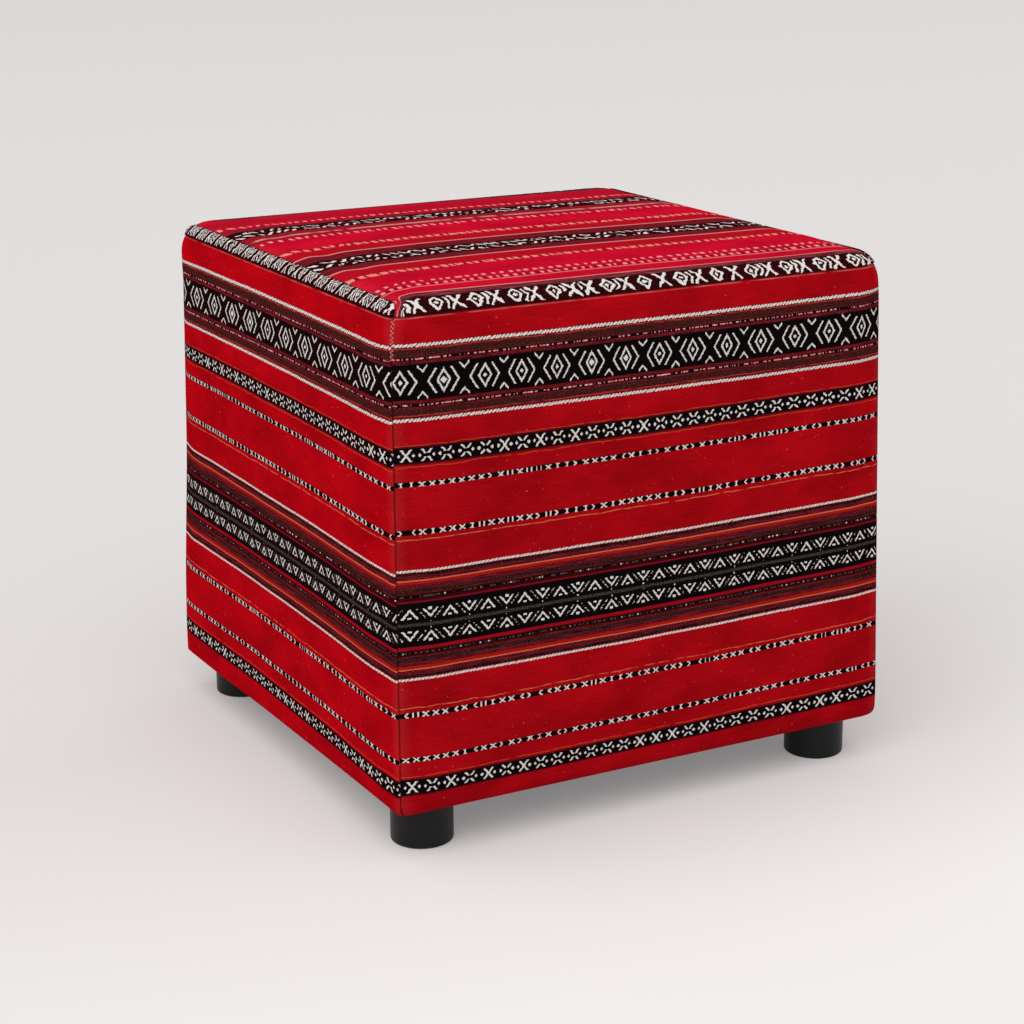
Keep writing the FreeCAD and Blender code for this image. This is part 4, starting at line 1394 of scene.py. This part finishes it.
@dataclass
class Base:
    """What carries the cover: boards, posts, fasteners, felt and feet. Lengths are in metres."""

    felt_size: float = 0.422
    felt_cells: int = 40
    felt_thickness: float = 0.0006
    felt_sag: float = 0.0012
    felt_free: float = 0.72
    felt: bpy.types.Object | None = None

    def build(self) -> None:
        """Stretches the felt under the base board, with a little sag in its free middle."""
        _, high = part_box("dust_cover")
        select_only()
        bpy.ops.mesh.primitive_grid_add(x_subdivisions=self.felt_cells, y_subdivisions=self.felt_cells,
                                        size=self.felt_size, location=(0.0, 0.0, high.z))
        self.felt = bpy.context.active_object
        self.felt.name = "felt_under_base"
        bpy.ops.object.transform_apply(location=True, rotation=True, scale=True)
        free = self.felt_free * self.felt_size / 2.0
        for point in self.felt.data.vertices:
            across, along = (max(0.0, 1.0 - (place / free) ** 2) for place in point.co.xy)
            point.co.z -= self.felt_sag * across * along
        thicken(self.felt, self.felt_thickness)

    def dress(self) -> None:
        """Gives every carried-over CAD piece and the felt their finishes."""
        stand_in(self.felt, "dust_cover", "felt", FELT.dress())
        wood, steel = PLYWOOD.dress(), STEEL.dress()
        finishes = {"screws": steel, "staples": steel, "leg_": PLASTIC.dress(), "corner_post": PINE.dress(),
                    "base_board": wood, "deck_board": wood, "frame_panel": wood}
        for name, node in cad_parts.items():
            if node.hide_render:
                continue
            finish = next(material for word, material in finishes.items() if word in name)
            node.data.materials.clear()
            node.data.materials.append(finish)
            LOG.info("%s wears %s", name, finish.name)


@dataclass
class Studio:
    """Pale floor, soft light and the camera. Lengths are in metres and angles in degrees."""

    floor_size: float = 40.0
    floor_glow: float = 0.195
    floor_tint: tuple[float, ...] = (1.0, 0.975, 0.97, 1.0)
    floor_near: str = "#d0cecd"
    floor_middle: str = "#bdbab9"
    floor_far: str = "#b5b1b0"
    fill_strength: float = 0.50
    fill_tint: tuple[float, ...] = (1.0, 0.985, 0.975, 1.0)
    key_energy: float = 2.28
    key_width: float = 80.0
    key_place: tuple[float, float, float] = (-1.0, -0.6, 3.0)
    key_tilt: tuple[float, float, float] = (14.0, -24.0, 0.0)
    lens: float = 79.87
    sensor: float = 36.0
    eye: tuple[float, float, float] = (-0.90074, -1.67118, 0.74973)
    yaw: float = 28.188
    pitch: float = 16.392
    roll: float = -0.319

    def build(self) -> None:
        """Sets up the whole studio."""
        self.lay_floor()
        self.hang_lights()
        self.set_camera()
        bpy.context.scene.view_settings.view_transform = "Standard"

    def lay_floor(self) -> None:
        """Lays a wide pale floor that glows a little, painted light as if lit from below that lifts the
        shadows, and whose tone falls off behind the object as painted shade.
        """
        select_only()
        bpy.ops.mesh.primitive_plane_add(size=self.floor_size, location=(0.0, 0.0, 0.0))
        floor = bpy.context.active_object
        floor.name = "studio_floor"
        finish = Finish("pale studio floor", roughness=0.9)
        _, along, _ = finish.place()
        near, middle, far = map(linear, (self.floor_near, self.floor_middle, self.floor_far))
        # Painted shade: the floor's colour darkens from near to middle to far behind the object.
        tone = finish.mixed(along.faded(0.0018, 0.85), near, middle)
        tone = finish.mixed(along.faded(0.00012, 0.0), tone, far)
        # The glow is painted light that lifts the shadow under the object.
        finish.set(Specular_IOR_Level=0.1, Emission_Color=self.floor_tint, Emission_Strength=self.floor_glow,
                   Base_Color=tone)
        floor.data.materials.append(finish.material)

    def hang_lights(self) -> None:
        """Hangs a wide soft key light overhead and fills in from all round."""
        world = bpy.context.scene.world or bpy.data.worlds.new("studio")
        bpy.context.scene.world = world
        world.use_nodes = True
        background = world.node_tree.nodes["Background"]
        background.inputs["Color"].default_value = self.fill_tint
        background.inputs["Strength"].default_value = self.fill_strength
        bpy.ops.object.light_add(type="SUN", location=self.key_place)
        key = bpy.context.active_object
        key.name = "overhead_key"
        key.data.energy = self.key_energy
        key.data.angle = math.radians(self.key_width)
        key.rotation_euler = [math.radians(angle) for angle in self.key_tilt]

    def set_camera(self) -> None:
        """Places the camera at the photograph's angle."""
        bpy.ops.object.camera_add(location=self.eye, rotation=(
            math.radians(90.0 - self.pitch), 0.0, math.radians(-self.yaw)))
        camera = bpy.context.active_object
        camera.name = "photo_camera"
        camera.rotation_mode = "XYZ"
        camera.rotation_euler.rotate_axis("Z", math.radians(self.roll))
        camera.data.sensor_width = self.sensor
        camera.data.lens = self.lens
        camera.data.dof.use_dof = False
        bpy.context.scene.camera = camera


def main() -> None:
    """Builds the cover, its padding, the base and the studio, in that order."""
    logging.basicConfig(level=logging.INFO, format="%(name)s: %(message)s")
    cover, padding, base, studio = Cover(), Padding(), Base(), Studio()
    for part in (cover, padding, base):
        part.build()
        part.dress()
    studio.build()


if __name__ == "__main__":
    main()
